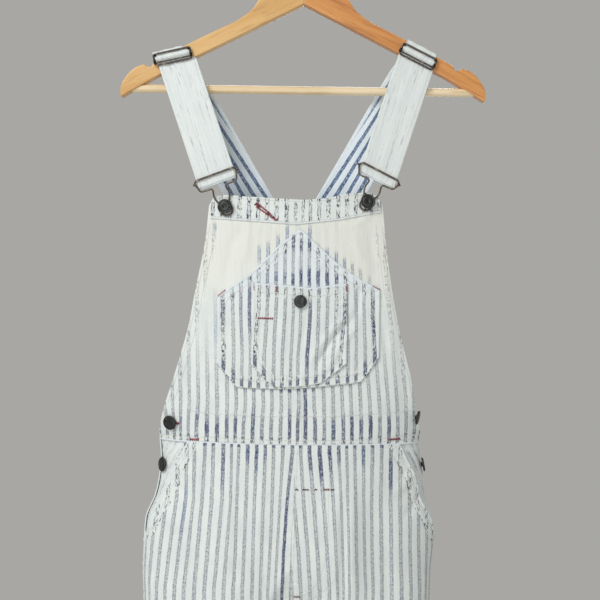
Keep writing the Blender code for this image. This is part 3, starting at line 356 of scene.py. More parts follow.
def trousers(side, face, t, z, outer_turn, lift=0.0):
    """A trouser panel: t runs from its outer edge to the centre seam, or to the inside leg."""
    left = read(TRUNK, "left", z)
    right = read(TRUNK, "right", z)
    centre = (left + right) / 2
    half = (right - left) / 2
    seam_x = read(FLY_SEAM, "x", z) + side * HALF_GAP
    seam = np.arcsin((seam_x - centre) / half)
    if face == REAR:
        seam = side * math.pi - seam
    angle = side * outer_turn * (1 - t) + seam * t
    depth = np.where(np.cos(angle) > 0, read(TRUNK, "front", z), read(TRUNK, "back", z))
    trunk = ring(centre, half, depth, angle)

    word = "left" if side < 0 else "right"
    outer_x = read(LEGS, "outer_" + word, z)
    inner_x = read(LEGS, "inner_" + word, z)
    inseam = -math.pi / 2 + SEAM_TURN if face == FRONT else 3 * math.pi / 2 - SEAM_TURN
    leg_angle = side * (outer_turn * (1 - t) + inseam * t)
    leg_depth = np.where(np.cos(leg_angle) > 0, read(LEGS, "front", z), read(LEGS, "back", z))
    leg = ring((outer_x + inner_x) / 2, np.abs(outer_x - inner_x) / 2, leg_depth, leg_angle)

    fork = smooth_step((FORK_TOP_Z - z) / (FORK_TOP_Z - FORK_LOW_Z))
    x, y, normal_x, normal_y = [(1 - fork) * a + fork * b for a, b in zip(trunk, leg)]
    length = np.hypot(normal_x, normal_y)
    facing = (1 - fork) * np.cos(angle) + fork * np.cos(leg_angle)
    push = relief(x, z, facing) + lift
    return pushed(x, y, z, normal_x / length, normal_y / length, push)


def pocket_turn(side, z):
    return np.radians(read(HIP_POCKET, "left" if side < 0 else "right", z))


def back_surface(s, z_low_share):
    """The back bib: s runs from -1 at its left edge to 1 at its right edge."""
    top_z = PEAK_Z - BACK_SLOPE * BACK_SHOULDER * np.abs(s)
    low_z = WAIST_Z + HALF_GAP
    z = low_z + (top_z - low_z) * z_low_share
    left = read(BACK, "left", z)
    right = read(BACK, "right", z)
    turn = np.radians(np.where(s < 0, read(BACK, "turn_left", z), read(BACK, "turn_right", z)))
    half = (right - left) / 2 / np.sin(np.minimum(turn, math.pi / 2))
    angle = math.pi - s * turn
    x, y, normal_x, normal_y = ring((left + right) / 2, half, read(BACK, "depth", z), angle)
    return pushed(x, y, z, normal_x, normal_y, relief(x, z, np.cos(angle)))


# ------------------------------------------------------------------ straps
Station = namedtuple("Station", "x y z tilt half")


def across(side, tilt):
    """Direction across a strap, towards the middle of the garment and upwards by tilt."""
    angle = math.radians(tilt)
    return Vector((-side * math.cos(angle), 0.0, math.sin(angle)))


def down(side, tilt):
    angle = math.radians(tilt)
    return Vector((-side * math.sin(angle), 0.0, -math.cos(angle)))


def blend(a, b, t):
    return a + (b - a) * t


def strap_stations(plan):
    """The strap's inner face from the back bib over the arm, round the clip's bar and up again."""
    stations = []
    root_angle = math.radians(plan.root_tilt)
    root_x = PEAK_X + plan.side * (ROOT_HALF * math.cos(root_angle) + HALF_GAP)
    root_z = PEAK_Z - ROOT_HALF * math.sin(root_angle) + GAP
    arm_y = ARM_THICKNESS / 2 + ARM_GAP
    for t in (0.0, 0.14, 0.30, 0.46, 0.62, 0.77, 0.90):
        stations.append(Station(
            blend(root_x, plan.heel_x, t), blend(ROOT_Y, arm_y, t), blend(root_z, plan.heel_z, t),
            blend(plan.root_tilt, plan.crown_tilt, smooth_step((t - 0.5) / 0.5)),
            blend(ROOT_HALF, STRAP_HALF, t)))
    # (y, fall below the crown) over the arm, then through the slider, where the cloth swells out
    window = plan.crown_z - plan.slider_z
    swell = arm_y + BULGE_DEPTH
    over_arm = [
        (arm_y, 0.0230), (arm_y, 0.0120), (arm_y, 0.0050), (0.0069, 0.0018), (0.0059, 0.0004),
        (0.0043, 0.0), (0.0, -0.0002), (-0.0043, 0.0), (-0.0059, 0.0004), (-0.0069, 0.0018),
        (-arm_y, window - 0.0048), (-swell * 0.93, window - 0.0033), (-swell, window - 0.0017),
        (-swell * 0.93, window - 0.0001), (-arm_y, window + 0.0014), (-arm_y, window + 0.0050),
        (-arm_y, window + BELOW_SLIDER),
    ]
    run_slope = (plan.clip_x - plan.run_x) / (plan.crown_z - plan.clip_z)
    heel_fall = plan.crown_z - plan.heel_z
    lean = plan.side * math.tan(math.radians(plan.slider_tilt))
    for y, fall in over_arm:
        if y > 0:
            x = blend(plan.crown_x, plan.heel_x, fall / heel_fall)
            half = blend(plan.crown_half, STRAP_HALF, smooth_step(fall / heel_fall))
        else:
            in_slider = plan.slider_x - lean * (fall - window)
            gather = smooth_step(fall / (window - 0.0033))
            past = smooth_step((fall - window) / BELOW_SLIDER)
            run = plan.run_x + run_slope * fall
            x = blend(blend(plan.crown_x, in_slider, gather), run, past)
            half = blend(blend(plan.crown_half, SLIDER_HALF, gather), STRAP_HALF, past ** 4)
        stations.append(Station(x, y, plan.crown_z - fall, plan.crown_tilt, half))

    clip = Vector((plan.clip_x, 0.0, plan.clip_z))
    bar = clip + down(plan.side, plan.clip_tilt) * CLIP_DROP
    fold = CLIP_WIRE + GAP + 0.00015
    start = stations[-1]
    front = Station(bar.x, CLIP_BAR_Y - fold, bar.z, plan.clip_tilt, STRAP_HALF)
    for t in (0.12, 0.26, 0.42, 0.58, 0.74, 0.88, 1.0):
        stations.append(Station(*[blend(a, b, t) for a, b in zip(start, front)]))
    for degrees in (30, 60, 90, 120, 150, 180):
        turn = math.radians(degrees)
        centre = bar + down(plan.side, plan.clip_tilt) * fold * math.sin(turn)
        stations.append(Station(
            centre.x, CLIP_BAR_Y - fold * math.cos(turn), centre.z, plan.clip_tilt, STRAP_HALF))
    # the strap's end lies doubled behind it, a little apart where it leaves the fold
    for t in (0.93, 0.86, 0.74, 0.58, 0.42, 0.26, 0.12):
        layer = Station(*[blend(a, b, t) for a, b in zip(start, front)])
        stations.append(layer._replace(y=layer.y + (0.0012 if t > 0.9 else STRAP_LAYER_GAP)))
    return stations


def rounded_loop(half_width, half_height, corner, steps):
    """Corners of a rounded rectangle as (across, up), anticlockwise from the right."""
    points = []
    wide, high = half_width - corner, half_height - corner
    for x, z, first in ((wide, high, 0), (-wide, high, 90), (-wide, -high, 180), (wide, -high, 270)):
        for step in range(steps + 1):
            angle = math.radians(first + 90 * step / steps)
            points.append((x + corner * math.cos(angle), z + corner * math.sin(angle)))
    return points


def surface_frame(point_at, a, b, step=0.0005):
    """A point of a surface and its outward direction, from points a small step away."""
    here = Vector(point_at(a, b))
    along_a = Vector(point_at(a + step, b)) - here
    along_b = Vector(point_at(a, b + step)) - here
    normal = along_a.cross(along_b).normalized()
    if normal.y > 0:
        normal = -normal
    return here, normal


# ------------------------------------------------------------------ finer relief of the cloth
# a crease is a soft ridge (+) or trough (-) along a slightly bowed line on one face:
# (top x, top z, low x, low z, bow, spread, height) in tenths of a millimetre
FRONT_CREASES = [
    # bib
    (-700, -3660, -830, -4400, 40, 60, -9), (-600, -3640, -660, -4080, -20, 50, 7),
    (740, -3580, 830, -4320, -30, 60, -10), (600, -3660, 700, -4020, 20, 45, 6),
    (-1010, -4200, -1120, -5200, 30, 65, 11), (940, -4100, 1050, -5200, -30, 60, 10),
    (-1200, -5000, -1280, -5850, 20, 55, -9), (1120, -5000, 1180, -5750, -20, 50, -8),
    (-300, -5470, -340, -6000, 10, 60, 6), (480, -5450, 440, -5980, 10, 60, -6),
    (-760, -5480, -820, -6040, -20, 60, 7), (-920, -3520, -660, -3720, 20, 40, 6),
    (820, -3430, 540, -3660, -20, 40, 6),
    # pockets
    (670, -4260, 610, -4700, -20, 34, -14), (620, -4640, 160, -5280, 40, 32, -19),
    (540, -4620, 100, -5200, 40, 36, 11), (700, -4700, 260, -5340, 40, 36, 9),
    (-180, -4520, -240, -5200, -20, 45, 6), (120, -4550, 20, -5050, 20, 35, -6),
    (300, -3980, 140, -4250, 20, 40, 6), (-400, -4040, -200, -4240, -20, 40, -5),
    # hips and thighs
    (-1420, -6220, -1120, -6500, 30, 55, 14), (-1480, -6450, -1200, -6680, 20, 45, -12),
    (-1550, -6800, -1260, -7060, 40, 60, 12), (1340, -6300, 1060, -6640, -40, 55, 12),
    (1420, -6620, 1180, -6900, -20, 45, -11), (-950, -6180, -1010, -6900, 30, 60, -11),
    (-670, -6550, -710, -7700, -30, 65, -13), (-360, -6400, -420, -7300, 20, 60, 9),
    (220, -6900, 180, -7800, -20, 60, 9), (520, -6600, 540, -8000, 20, 55, -24),
    (610, -6500, 640, -7800, 20, 55, 12), (980, -7000, 1010, -8100, -30, 60, -10),
    (-40, -7350, -340, -8000, 40, 70, 18), (-80, -7420, 240, -8060, -40, 70, 18),
    (-100, -7700, -580, -8460, 60, 80, -16), (20, -7750, 500, -8500, -60, 80, -16),
    # lower legs
    (-1500, -8600, -1120, -9050, 60, 90, 16), (-300, -9300, -720, -9850, -50, 100, -18),
    (-1400, -10200, -920, -10750, 70, 110, 20), (-400, -11200, -1000, -11650, 40, 100, 18),
    (-1300, -12350, -800, -12800, -50, 100, -18), (-500, -13700, -1100, -14200, 50, 110, 18),
    (-1280, -14900, -700, -15450, -40, 100, -16), (1300, -8750, 940, -9150, -50, 90, 16),
    (220, -9500, 660, -10000, 50, 100, -17), (1240, -10500, 800, -11050, -60, 110, 19),
    (300, -11700, 820, -12150, 50, 100, 17), (1180, -12900, 640, -13350, -50, 100, -18),
    (340, -14200, 960, -14700, 40, 110, 18),
]
BACK_CREASES = [
    (-400, -4300, -660, -5200, 40, 70, 10), (260, -4300, 500, -5250, -40, 70, 10),
    (-80, -4500, -40, -5600, 30, 80, -9), (-1000, -5600, -1280, -6020, 30, 60, 10),
    (840, -5580, 1100, -6000, -30, 60, 10), (-900, -6250, -500, -6900, 50, 80, 16),
    (780, -6250, 360, -6950, -50, 80, 16), (-120, -7600, -640, -8350, 70, 90, -22),
    (0, -7600, 540, -8400, -70, 90, -22), (-300, -8000, -1200, -8720, 80, 90, 20),
    (200, -8060, 1060, -8800, -80, 90, 20), (-1400, -10100, -800, -10500, 60, 110, 22),
    (-460, -10400, -1160, -10850, 50, 100, -20), (1200, -10200, 600, -10600, -60, 110, 22),
    (300, -10500, 980, -10980, -50, 100, -20), (-1300, -12500, -700, -13000, 50, 110, 18),
    (1100, -12700, 500, -13150, -50, 110, 18), (-600, -14300, -1200, -14800, 50, 110, -18),
    (440, -14400, 1040, -14900, -50, 110, -18),
]
CREASE = "top_x top_z low_x low_z bow spread height"
CREASES = ([(FRONT, crease) for crease in table(CREASE, FRONT_CREASES, TENTHS)]
           + [(REAR, crease) for crease in table(CREASE, BACK_CREASES, TENTHS)])

# lines of stitching, as (x, z) on the garment's front
WAIST_LINE = [(-0.1590, -0.6010), (-0.1247, -0.6015), (-0.060, -0.6022), (0.0022, -0.6031),
              (0.070, -0.6018), (0.133, -0.5977)]
WAIST_LINE_LOW = [(x, z - 0.0045) for x, z in WAIST_LINE]
WAIST_LINE_HIGH = [(-0.1240, -0.5725), (-0.1054, -0.5743), (-0.0425, -0.5770), (0.0396, -0.5760),
                   (0.1150, -0.5712), (0.1301, -0.5700)]
PLACKET_LEFT = [(-0.1243, -0.5735), (-0.1241, -0.6045)]
PLACKET_RIGHT = [(0.1149, -0.5712), (0.1157, -0.6010)]
FLY_INNER = [(0.0378, -0.6128), (0.0358, -0.6347), (0.0349, -0.6563), (0.0342, -0.6886),
             (0.0323, -0.7158), (0.0314, -0.7322), (0.0263, -0.7523), (0.0166, -0.7663),
             (0.0046, -0.7751)]
FLY_OUTER = [(0.0445, -0.6128), (0.0483, -0.6669), (0.0490, -0.7000), (0.0485, -0.7318),
             (0.0435, -0.7510), (0.0373, -0.7610), (0.0220, -0.7740), (0.0047, -0.7812)]


CREASE_SHARE = 1.3          # all creases stand this much higher than their rows say


def crease_height(x, z, facing):
    """The finer creases' share of the cloth's relief at (x, z)."""
    x, z, facing = np.broadcast_arrays(x, z, facing)
    total = np.zeros(x.shape)
    low_x, high_x, low_z, high_z = x.min(), x.max(), z.min(), z.max()
    for face, crease in CREASES:
        reach = 2.6 * crease.spread + abs(crease.bow)
        first_x, last_x = sorted((crease.top_x, crease.low_x))
        if (first_x - reach > high_x or last_x + reach < low_x
                or crease.low_z - reach > high_z or crease.top_z + reach < low_z):
            continue
        run_x = crease.low_x - crease.top_x
        run_z = crease.low_z - crease.top_z
        length = math.hypot(run_x, run_z)
        share = ((x - crease.top_x) * run_x + (z - crease.top_z) * run_z) / length ** 2
        aside = ((x - crease.top_x) * run_z - (z - crease.top_z) * run_x) / length
        inside = np.clip(share, 0, 1)
        aside = aside - crease.bow * 4 * inside * (1 - inside)
        ends = smooth_step(share / 0.35 + 0.2) * smooth_step((1 - share) / 0.35 + 0.2)
        side = np.clip(facing * face * 4, 0, 1)
        total = total + crease.height * ends * hump(aside, 0, crease.spread) * side
    return total * CREASE_SHARE


def ripple(s, seed):
    """An uneven wave along a seam, between -1 and 1; s is in metres along it."""
    wave = np.sin(s * 2 * math.pi / 0.0093 + seed)
    wave = wave + 0.7 * np.sin(s * 2 * math.pi / 0.0127 + 2.1 * seed + 1.3)
    wave = wave + 0.5 * np.sin(s * 2 * math.pi / 0.0061 + 0.7 * seed + 0.4)
    return wave / 2.2


def near_line(x, z, line):
    """Distance from (x, z) to a line of stitching, and the length along it of the nearest point."""
    best = np.full(np.broadcast(x, z).shape, 1e9)
    along = np.zeros_like(best)
    run = 0.0
    for (ax, az), (bx, bz) in zip(line[:-1], line[1:]):
        length = math.hypot(bx - ax, bz - az)
        share = np.clip(((x - ax) * (bx - ax) + (z - az) * (bz - az)) / length ** 2, 0, 1)
        distance = np.hypot(x - ax - share * (bx - ax), z - az - share * (bz - az))
        closer = distance < best
        along = np.where(closer, run + share * length, along)
        best = np.where(closer, distance, best)
        run += length
    return best, along


def soft_near(x, z, line, reach):
    """1 on the line and 0 beyond its reach."""
    distance, _ = near_line(x, z, line)
    return 1 - smooth_step((distance / reach - 0.45) / 0.55)


def pucker_height(x, z, lines, height):
    """Small gathers that a row of stitching leaves on both sides of it."""
    total = np.zeros(np.broadcast(x, z).shape)
    for number, line in enumerate(lines):
        distance, along = near_line(x, z, line)
        fade = hump(distance, 0, 0.0055)
        groove = -0.5 * hump(distance, 0, 0.0013)
        total = np.maximum(0.0, total) + height * (fade * ripple(along, number * 1.7) + groove)
    return total


def pocket_line(outline, edge, inset):
    """A line of stitching along a pocket's top or bottom edge, set in by the inset."""
    line = []
    for point in outline:
        z = getattr(point, edge)
        line.append((point.x, z - inset if edge == "top" else z + inset))
    first = outline[0].x + inset * 0.7
    last = outline[-1].x - inset * 0.7
    return [(min(max(x, first), last), z) for x, z in line]


def side_line(outline, end, inset):
    """A line of stitching down one side of a pocket, set in by the inset."""
    point = outline[end]
    x = point.x + (inset if end == 0 else -inset)
    return [(x, point.top - inset), (x, point.bottom + inset)]


BAND_INSET = 0.0012         # the band ends this far inside the bib's sides


def band_line(outline, inset):
    """A line of stitching along the bib's top band, inset downwards from its top or low edge."""
    left_x = read(BIB, "left", BIB_TOP_Z) + BAND_INSET
    right_x = read(BIB, "right", BIB_TOP_Z) - BAND_INSET
    places = [float(left_x + (right_x - left_x) * share) for share in np.linspace(0.02, 0.98, 13)]
    return [(x, float(read_outline(outline, "z", x)) - inset) for x in places]


BAND_TOP_LINE = band_line(BIB_TOP, 0.0022)
BAND_LOW_LINE = band_line(BAND_LOW, -0.0018)
def pocket_lines(outline, deep_top, deep_side):
    """Two rows of stitching along each edge of a pocket."""
    lines = [pocket_line(outline, edge, inset) for edge, inset in (
        ("top", 0.0022), ("top", deep_top), ("bottom", 0.0018), ("bottom", 0.0088))]
    return lines + [side_line(outline, end, inset) for inset in (0.0018, deep_side) for end in (0, -1)]


LARGE_LINES = pocket_lines(LARGE_POCKET, 0.0105, 0.0085)
SMALL_LINES = pocket_lines(SMALL_POCKET, 0.0100, 0.0080)
FRONT_LINES = [BAND_TOP_LINE, BAND_LOW_LINE, WAIST_LINE, WAIST_LINE_LOW, WAIST_LINE_HIGH, PLACKET_LEFT,
               PLACKET_RIGHT, FLY_INNER, FLY_OUTER] + LARGE_LINES + SMALL_LINES


LOWEST_STITCH_Z = -0.80     # no gathered seam of the front lies below this
PUCKER = 0.0005             # height of the gathers beside a seam


def relief(x, z, facing):
    """How far the cloth stands out at (x, z): soft folds, finer creases and the gathers at seams."""
    total = fold_height(x, z, facing) + crease_height(x, z, facing)
    if np.max(z) < LOWEST_STITCH_Z:
        return total
    return total + np.clip(facing * 4, 0, 1) * pucker_height(x, z, FRONT_LINES, PUCKER)


# ------------------------------------------------------------------ where the woven stripes run
# stripes counted outwards from the centre, by their place across (millimetres) at some heights;
# beyond those they go on at the weave's own pitch
PITCH = 0.0102
STRIPE_ROW = "z first places"
BAND_STRIPES = table(STRIPE_ROW, [
    (-0.3483, 0, [-99.4, -90.6, -80.1, -69.3, -58.6, -48.1, -38.4, -27.4, -16.2, -5.9, 2.4, 10.2, 20.1,
        30.7, 41.5, 51.3, 61.5, 71.2, 79.4, 87.7]),
])
BIB_LEFT_STRIPES = table(STRIPE_ROW, [
    (-0.3917, 0, [-15.3, -25.4, -36.6, -46.5, -56.8, -66.4, -76.0, -86.2, -97.6]),
    (-0.5617, 0, [-9.8, -18.9, -29.4, -38.9, -49.6, -58.8, -69.2, -79.0, -90.9, -101.3, -112.2, -122.3,
        -132.6, -142.2]),
    (-0.5874, -1, [-0.9, -9.3, -19.6, -30.0, -40.2, -50.5, -61.2, -69.9, -79.3, -90.4, -102.1, -114.0,
        -123.5, -132.4, -139.4, -147.9]),
])
BIB_RIGHT_STRIPES = table(STRIPE_ROW, [
    (-0.4037, 1, [10.0, 19.5, 29.6, 40.3, 49.4, 57.7, 66.2, 75.8, 85.5]),
    (-0.5598, 0, [7.7, 16.9, 28.2, 38.7, 48.6, 58.3, 69.2, 79.3, 90.5, 100.1, 110.6]),
    (-0.5855, 0, [8.0, 19.0, 28.9, 38.9, 50.6, 59.7, 70.2, 80.9, 91.6, 102.1, 112.1, 121.6]),
])
LARGE_STRIPES = table(STRIPE_ROW, [
    (-0.4191, 0, [-87.8, -76.5, -66.4, -56.3, -46.2, -36.7, -27.2, -17.1, -8.2, 0.7, 9.7, 19.7, 29.8, 40.4,
        50.5, 61.2, 71.3, 81.5]),
    (-0.4626, 0, [-86.2, -74.5, -66.0, -56.4, -46.6, -36.5, -26.5, -17.0, -7.6, 1.3, 11.3, 20.8, 31.4, 41.5,
        52.1, 63.7, 71.7, 81.7]),
    (-0.5049, 0, [-84.5, -72.8, -63.6, -54.2, -44.8, -35.3, -25.9, -17.0, -7.5, 1.4, 10.8, 20.2, 31.9, 43.1,
        54.6, 63.4, 73.7, 84.6]),
])
SMALL_STRIPES = table(STRIPE_ROW, [
    (-0.4358, 0, [-45.3, -35.8, -25.8, -15.7, -6.8, 1.5, 11.5, 21.0, 31.0, 40.5, 50.6]),
    (-0.4625, 0, [-46.1, -36.5, -26.6, -16.6, -7.0, 0.9, 11.7, 20.8, 30.9, 40.3, 50.1]),
    (-0.4903, 0, [-48.4, -37.7, -28.0, -17.8, -8.1, -0.1, 10.1, 20.4, 30.1, 39.4, 47.3]),
    (-0.5091, 0, [-49.1, -39.0, -28.0, -18.8, -9.1, -1.6, 8.7, 19.1, 27.5, 37.1, 45.9]),
])
LEG_LEFT_STRIPES = table(STRIPE_ROW, [
    (-0.6171, 0, [-6.1, -16.7, -26.9, -36.1, -45.6, -55.6, -66.0, -73.5, -82.7, -94.6, -103.3, -116.5,
        -124.5, -135.8]),
    (-0.6705, 0, [-11.5, -19.0, -27.4, -37.4, -47.3, -56.2, -67.0, -73.3, -83.0, -95.2, -106.2, -115.8,
        -124.6, -135.4, -146.7]),
    (-0.7252, 0, [-14.5, -21.4, -29.0, -38.4, -47.8, -57.8, -67.2, -77.2, -87.1, -98.6, -110.2, -120.8,
        -130.9, -141.9, -153.4]),
    (-0.7692, 0, [-15.7, -22.9, -31.1, -39.4, -48.3, -59.3, -69.2, -80.1, -90.7, -101.6, -113.1, -124.9,
        -135.6, -146.5]),
])
LEG_RIGHT_STRIPES = table(STRIPE_ROW, [
    (-0.6154, 1, [3.2, 12.4, 24.2, 35.2, 45.5, 54.4, 63.2, 73.0, 83.2, 93.9, 104.4, 115.7]),
    (-0.6681, 1, [6.8, 18.1, 28.9, 40.0, 48.6, 55.5, 64.9, 74.0, 82.5, 93.1, 104.3, 115.3, 126.7]),
    (-0.7226, 1, [12.3, 22.9, 33.7, 43.5, 51.2, 57.5, 66.0, 75.4, 83.5, 94.5, 105.8, 116.2, 127.4]),
    (-0.7669, 1, [15.6, 26.1, 37.1, 46.4, 52.7, 58.6, 67.7, 77.4, 85.5, 95.6, 106.6, 118.1, 129.2]),
])


def stripe_count(points, rows):
    """The stripe number at each point of a grid of points[row][column]."""
    x = points[:, :, 0]
    z = points[:, :, 2]
    run = np.diff(x, axis=1)
    step = np.hypot(run, np.diff(points[:, :, 1], axis=1))
    middle = x.shape[1] // 2
    heading = 1.0 if x[0, middle + 1] > x[0, middle] else -1.0
    # where the cloth turns away at a side, its own length counts on instead of its place across
    run = np.where(np.abs(run) > 0.75 * step, run, heading * step)
    spread = np.concatenate([np.zeros((len(x), 1)), np.cumsum(run, axis=1)], axis=1)
    spread = spread + (x[:, middle] - spread[:, middle])[:, None]
    rows = sorted(rows, key=lambda row: row.z)
    first = min(row.first for row in rows)
    last = max(row.first + len(row.places) - 1 for row in rows)
    wanted = np.arange(first, last + 1)
    tables = []
    for row in rows:
        places = np.array(row.places) / 1000
        number = row.first + np.arange(len(places))
        sign = 1.0 if places[-1] > places[0] else -1.0
        line = np.interp(wanted, number, places)
        line = line + sign * PITCH * (np.minimum(wanted - number[0], 0) + np.maximum(wanted - number[-1], 0))
        tables.append(line)
    tables = np.array(tables)
    heights = np.array([row.z for row in rows])
    lines = [np.interp(z, heights, tables[:, i]) for i in range(len(wanted))]
    count = first + np.minimum(sign * (spread - lines[0]) / PITCH, 0) + np.maximum(
        sign * (spread - lines[-1]) / PITCH, 0)
    for low, high in zip(lines[:-1], lines[1:]):
        count = count + np.clip((spread - low) / (high - low), 0, 1)
    return count


# places where the dye is stronger or another blue: (stripe, top and low end in mm, dye, navy, teal)
SPOTS = {
    "bib_top_band": [
        (0, -336, -357, 0.8, 0.9, 0.0), (2, -337, -362, 0.5, 0.3, 0.6), (4, -336, -362, 1.0, 0.8, 0.3),
        (5, -344, -362, 0.5, 0.8, 0.0), (7, -338, -3.6E+2, 0.7, 0.6, 0.3), (8, -336, -363, 1.2, 1.0, 0.0),
        (11, -336, -358, 1.0, 0.9, 0.0), (12, -336, -352, 1.2, 1.0, 0.0), (13, -334, -345, 1.0, 1.0, 0.0),
        (18, -334, -352, 1.0, 0.9, 0.0),
    ],
    "bib_left": [
        (0, -362, -382, 1.5, 0.3, 0.9), (1, -374, -392, 1.5, 0.3, 0.9), (2, -382, -402, 1.5, 0.3, 0.9),
        (3, -386, -408, 1.4, 0.3, 0.9), (8, -436, -5E+2, 0.7, 0.2, 0.9), (8, -3.6E+2, -372, 1.4, 0.3, 0.9),
        (10, -566, -5.9E+2, 0.5, 0.5, 0.4), (8, -584, -6E+2, 1.1, 1.0, 0.0),
        (9, -584, -6E+2, 1.1, 1.0, 0.0), (7, -573, -602, 0.5, 0.5, 0.0), (6, -575, -602, 0.8, 0.7, 0.1),
        (4, -5.6E+2, -604, 0.8, 0.7, 0.0), (0, -566, -606, 0.9, 0.9, 0.0), (-1, -562, -606, 0.6, 0.3, 0.0),
        (12, -574, -604, 0.3, 0.3, 0.3),
    ],
    "bib_right": [
        (0, -546, -608, 1.6, 1.0, 0.0), (1, -362, -392, 1.7, 0.4, 0.8), (2, -384, -394, 1.4, 0.4, 0.8),
        (3, -388, -4E+2, 1.9, 0.4, 0.8), (4, -392, -408, 1.9, 0.4, 0.8), (5, -398, -414, 1.7, 0.4, 0.8),
        (6, -404, -418, 1.5, 0.8, 0.2), (7, -4.1E+2, -424, 1.4, 0.6, 0.3),
        (8, -418, -4.3E+2, 1.0, 0.6, 0.2), (1, -575, -604, 0.6, 0.4, 0.2),
        (3, -5.8E+2, -604, 0.7, 0.6, 0.1), (4, -572, -604, 0.5, 0.6, 0.0), (5, -572, -604, 0.9, 1.0, 0.0),
        (6, -576, -604, 0.6, 0.5, 0.2), (7, -572, -603, 1.1, 1.0, 0.0), (9, -574, -602, 0.7, 0.8, 0.0),
    ],
    "bib_pocket_large": [
        (8, -372, -392, 1.5, 1.0, 0.2), (9, -376, -394, 1.4, 1.0, 0.0), (10, -374, -394, 1.4, 1.0, 0.0),
        (8, -416, -432, 1.5, 1.0, 0.0), (9, -412, -432, 1.6, 1.0, 0.0), (10, -4.1E+2, -432, 1.7, 1.0, 0.0),
        (11, -412, -432, 1.2, 0.9, 0.2), (12, -414, -432, 1.4, 1.0, 0.0),
        (13, -414, -4.3E+2, 1.2, 0.9, 0.1), (6, -416, -4.3E+2, 0.9, 0.7, 0.3),
        (7, -414, -4.3E+2, 0.9, 0.7, 0.3), (5, -414, -4.3E+2, 0.7, 0.6, 0.3),
        (3, -422, -488, 1.0, 0.8, 0.2), (2, -425, -5E+2, 0.5, 0.4, 0.2), (0, -444, -478, 1.0, 1.0, 0.0),
        (17, -434, -505, 1.2, 1.0, 0.0), (17, -505, -522, 0.8, 0.8, 0.0),
    ],
    "bib_pocket_small": [
        (6, -444, -536, 1.0, 1.0, 0.0), (1, -4.3E+2, -444, 0.8, 0.8, 0.2),
        (7, -4.3E+2, -444, 0.9, 0.9, 0.0), (10, -4.4E+2, -5E+2, 0.6, 0.8, 0.0),
    ],
    "leg_front_left": [
        (0, -606, -9.3E+2, 1.3, 1.0, 0.0), (4, -608, -6.4E+2, 0.9, 0.8, 0.3),
        (5, -608, -6.3E+2, 0.8, 0.7, 0.4), (8, -6.1E+2, -6.6E+2, 0.8, 0.9, 0.0),
        (3, -608, -628, 0.5, 0.6, 0.2), (12, -6.5E+2, -7.2E+2, 0.5, 0.5, 0.5),
    ],
    "leg_front_right": [
        (2, -606, -6.4E+2, 0.8, 0.9, 0.0), (3, -606, -6.5E+2, 1.2, 1.0, 0.0),
        (4, -606, -6.4E+2, 1.0, 1.0, 0.0), (5, -606, -6.3E+2, 0.8, 0.8, 0.2),
        (8, -606, -634, 0.7, 0.7, 0.3), (11, -622, -6.6E+2, 1.2, 0.9, 0.3),
    ],
}


def add_spots(piece, number, z, dye, navy, teal):
    """Adds the spots of one piece to its dye, and the blues that they turn it to."""
    nearest = np.rint(number)
    for stripe, top, low, more_dye, more_navy, more_teal in SPOTS.get(piece, []):
        top, low = top / 1000, low / 1000
        edge = max(0.40 * (top - low), 0.008)
        soft = smooth_step((top - z) / edge + 0.3) * smooth_step((z - low) / edge + 0.3)
        soft = soft * (nearest == stripe)
        dye = dye + soft * more_dye * 0.65
        navy = np.maximum(navy, soft * more_navy * 0.95)
        teal = np.maximum(teal, soft * more_teal)
    return dye, navy, teal


# ------------------------------------------------------------------ mesh building
def new_object(name, vertices, faces, smooth=True):
    mesh = bpy.data.meshes.new(name)
    mesh.from_pydata([tuple(v) for v in vertices], [], [tuple(f) for f in faces])
    if smooth:
        mesh.shade_smooth()
    item = bpy.data.objects.new(name, mesh)
    bpy.context.scene.collection.objects.link(item)
    return item


def finish_piece(item, node, slot, material):
    item.data.materials.append(material)
    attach(item, "root")
    if node:
        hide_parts(node)


def grid_normals(points):
    normal = np.cross(np.gradient(points, axis=1), np.gradient(points, axis=0))
    return normal / np.maximum(np.linalg.norm(normal, axis=2, keepdims=True), 1e-12)


def boundary_loop(rows, columns):
    """(row, column) of the rim of a grid, in order round it."""
    return ([(0, c) for c in range(columns - 1)] + [(r, columns - 1) for r in range(rows - 1)]
            + [(rows - 1, c) for c in range(columns - 1, 0, -1)] + [(r, 0) for r in range(rows - 1, 0, -1)])


# what the cloth shader reads at every point of a sheet
TRAITS = ("dye", "navy", "teal", "seam", "cream", "vein", "fresh_white_and_highlight")
RIM_BULGE = 0.42            # how far a rim is rounded out, as a share of the wall


def run_across(points):
    """How far along its row each point of a grid lies."""
    step = np.linalg.norm(np.diff(points, axis=1), axis=2)
    return np.concatenate([np.zeros((len(points), 1)), np.cumsum(step, axis=1)], axis=1)


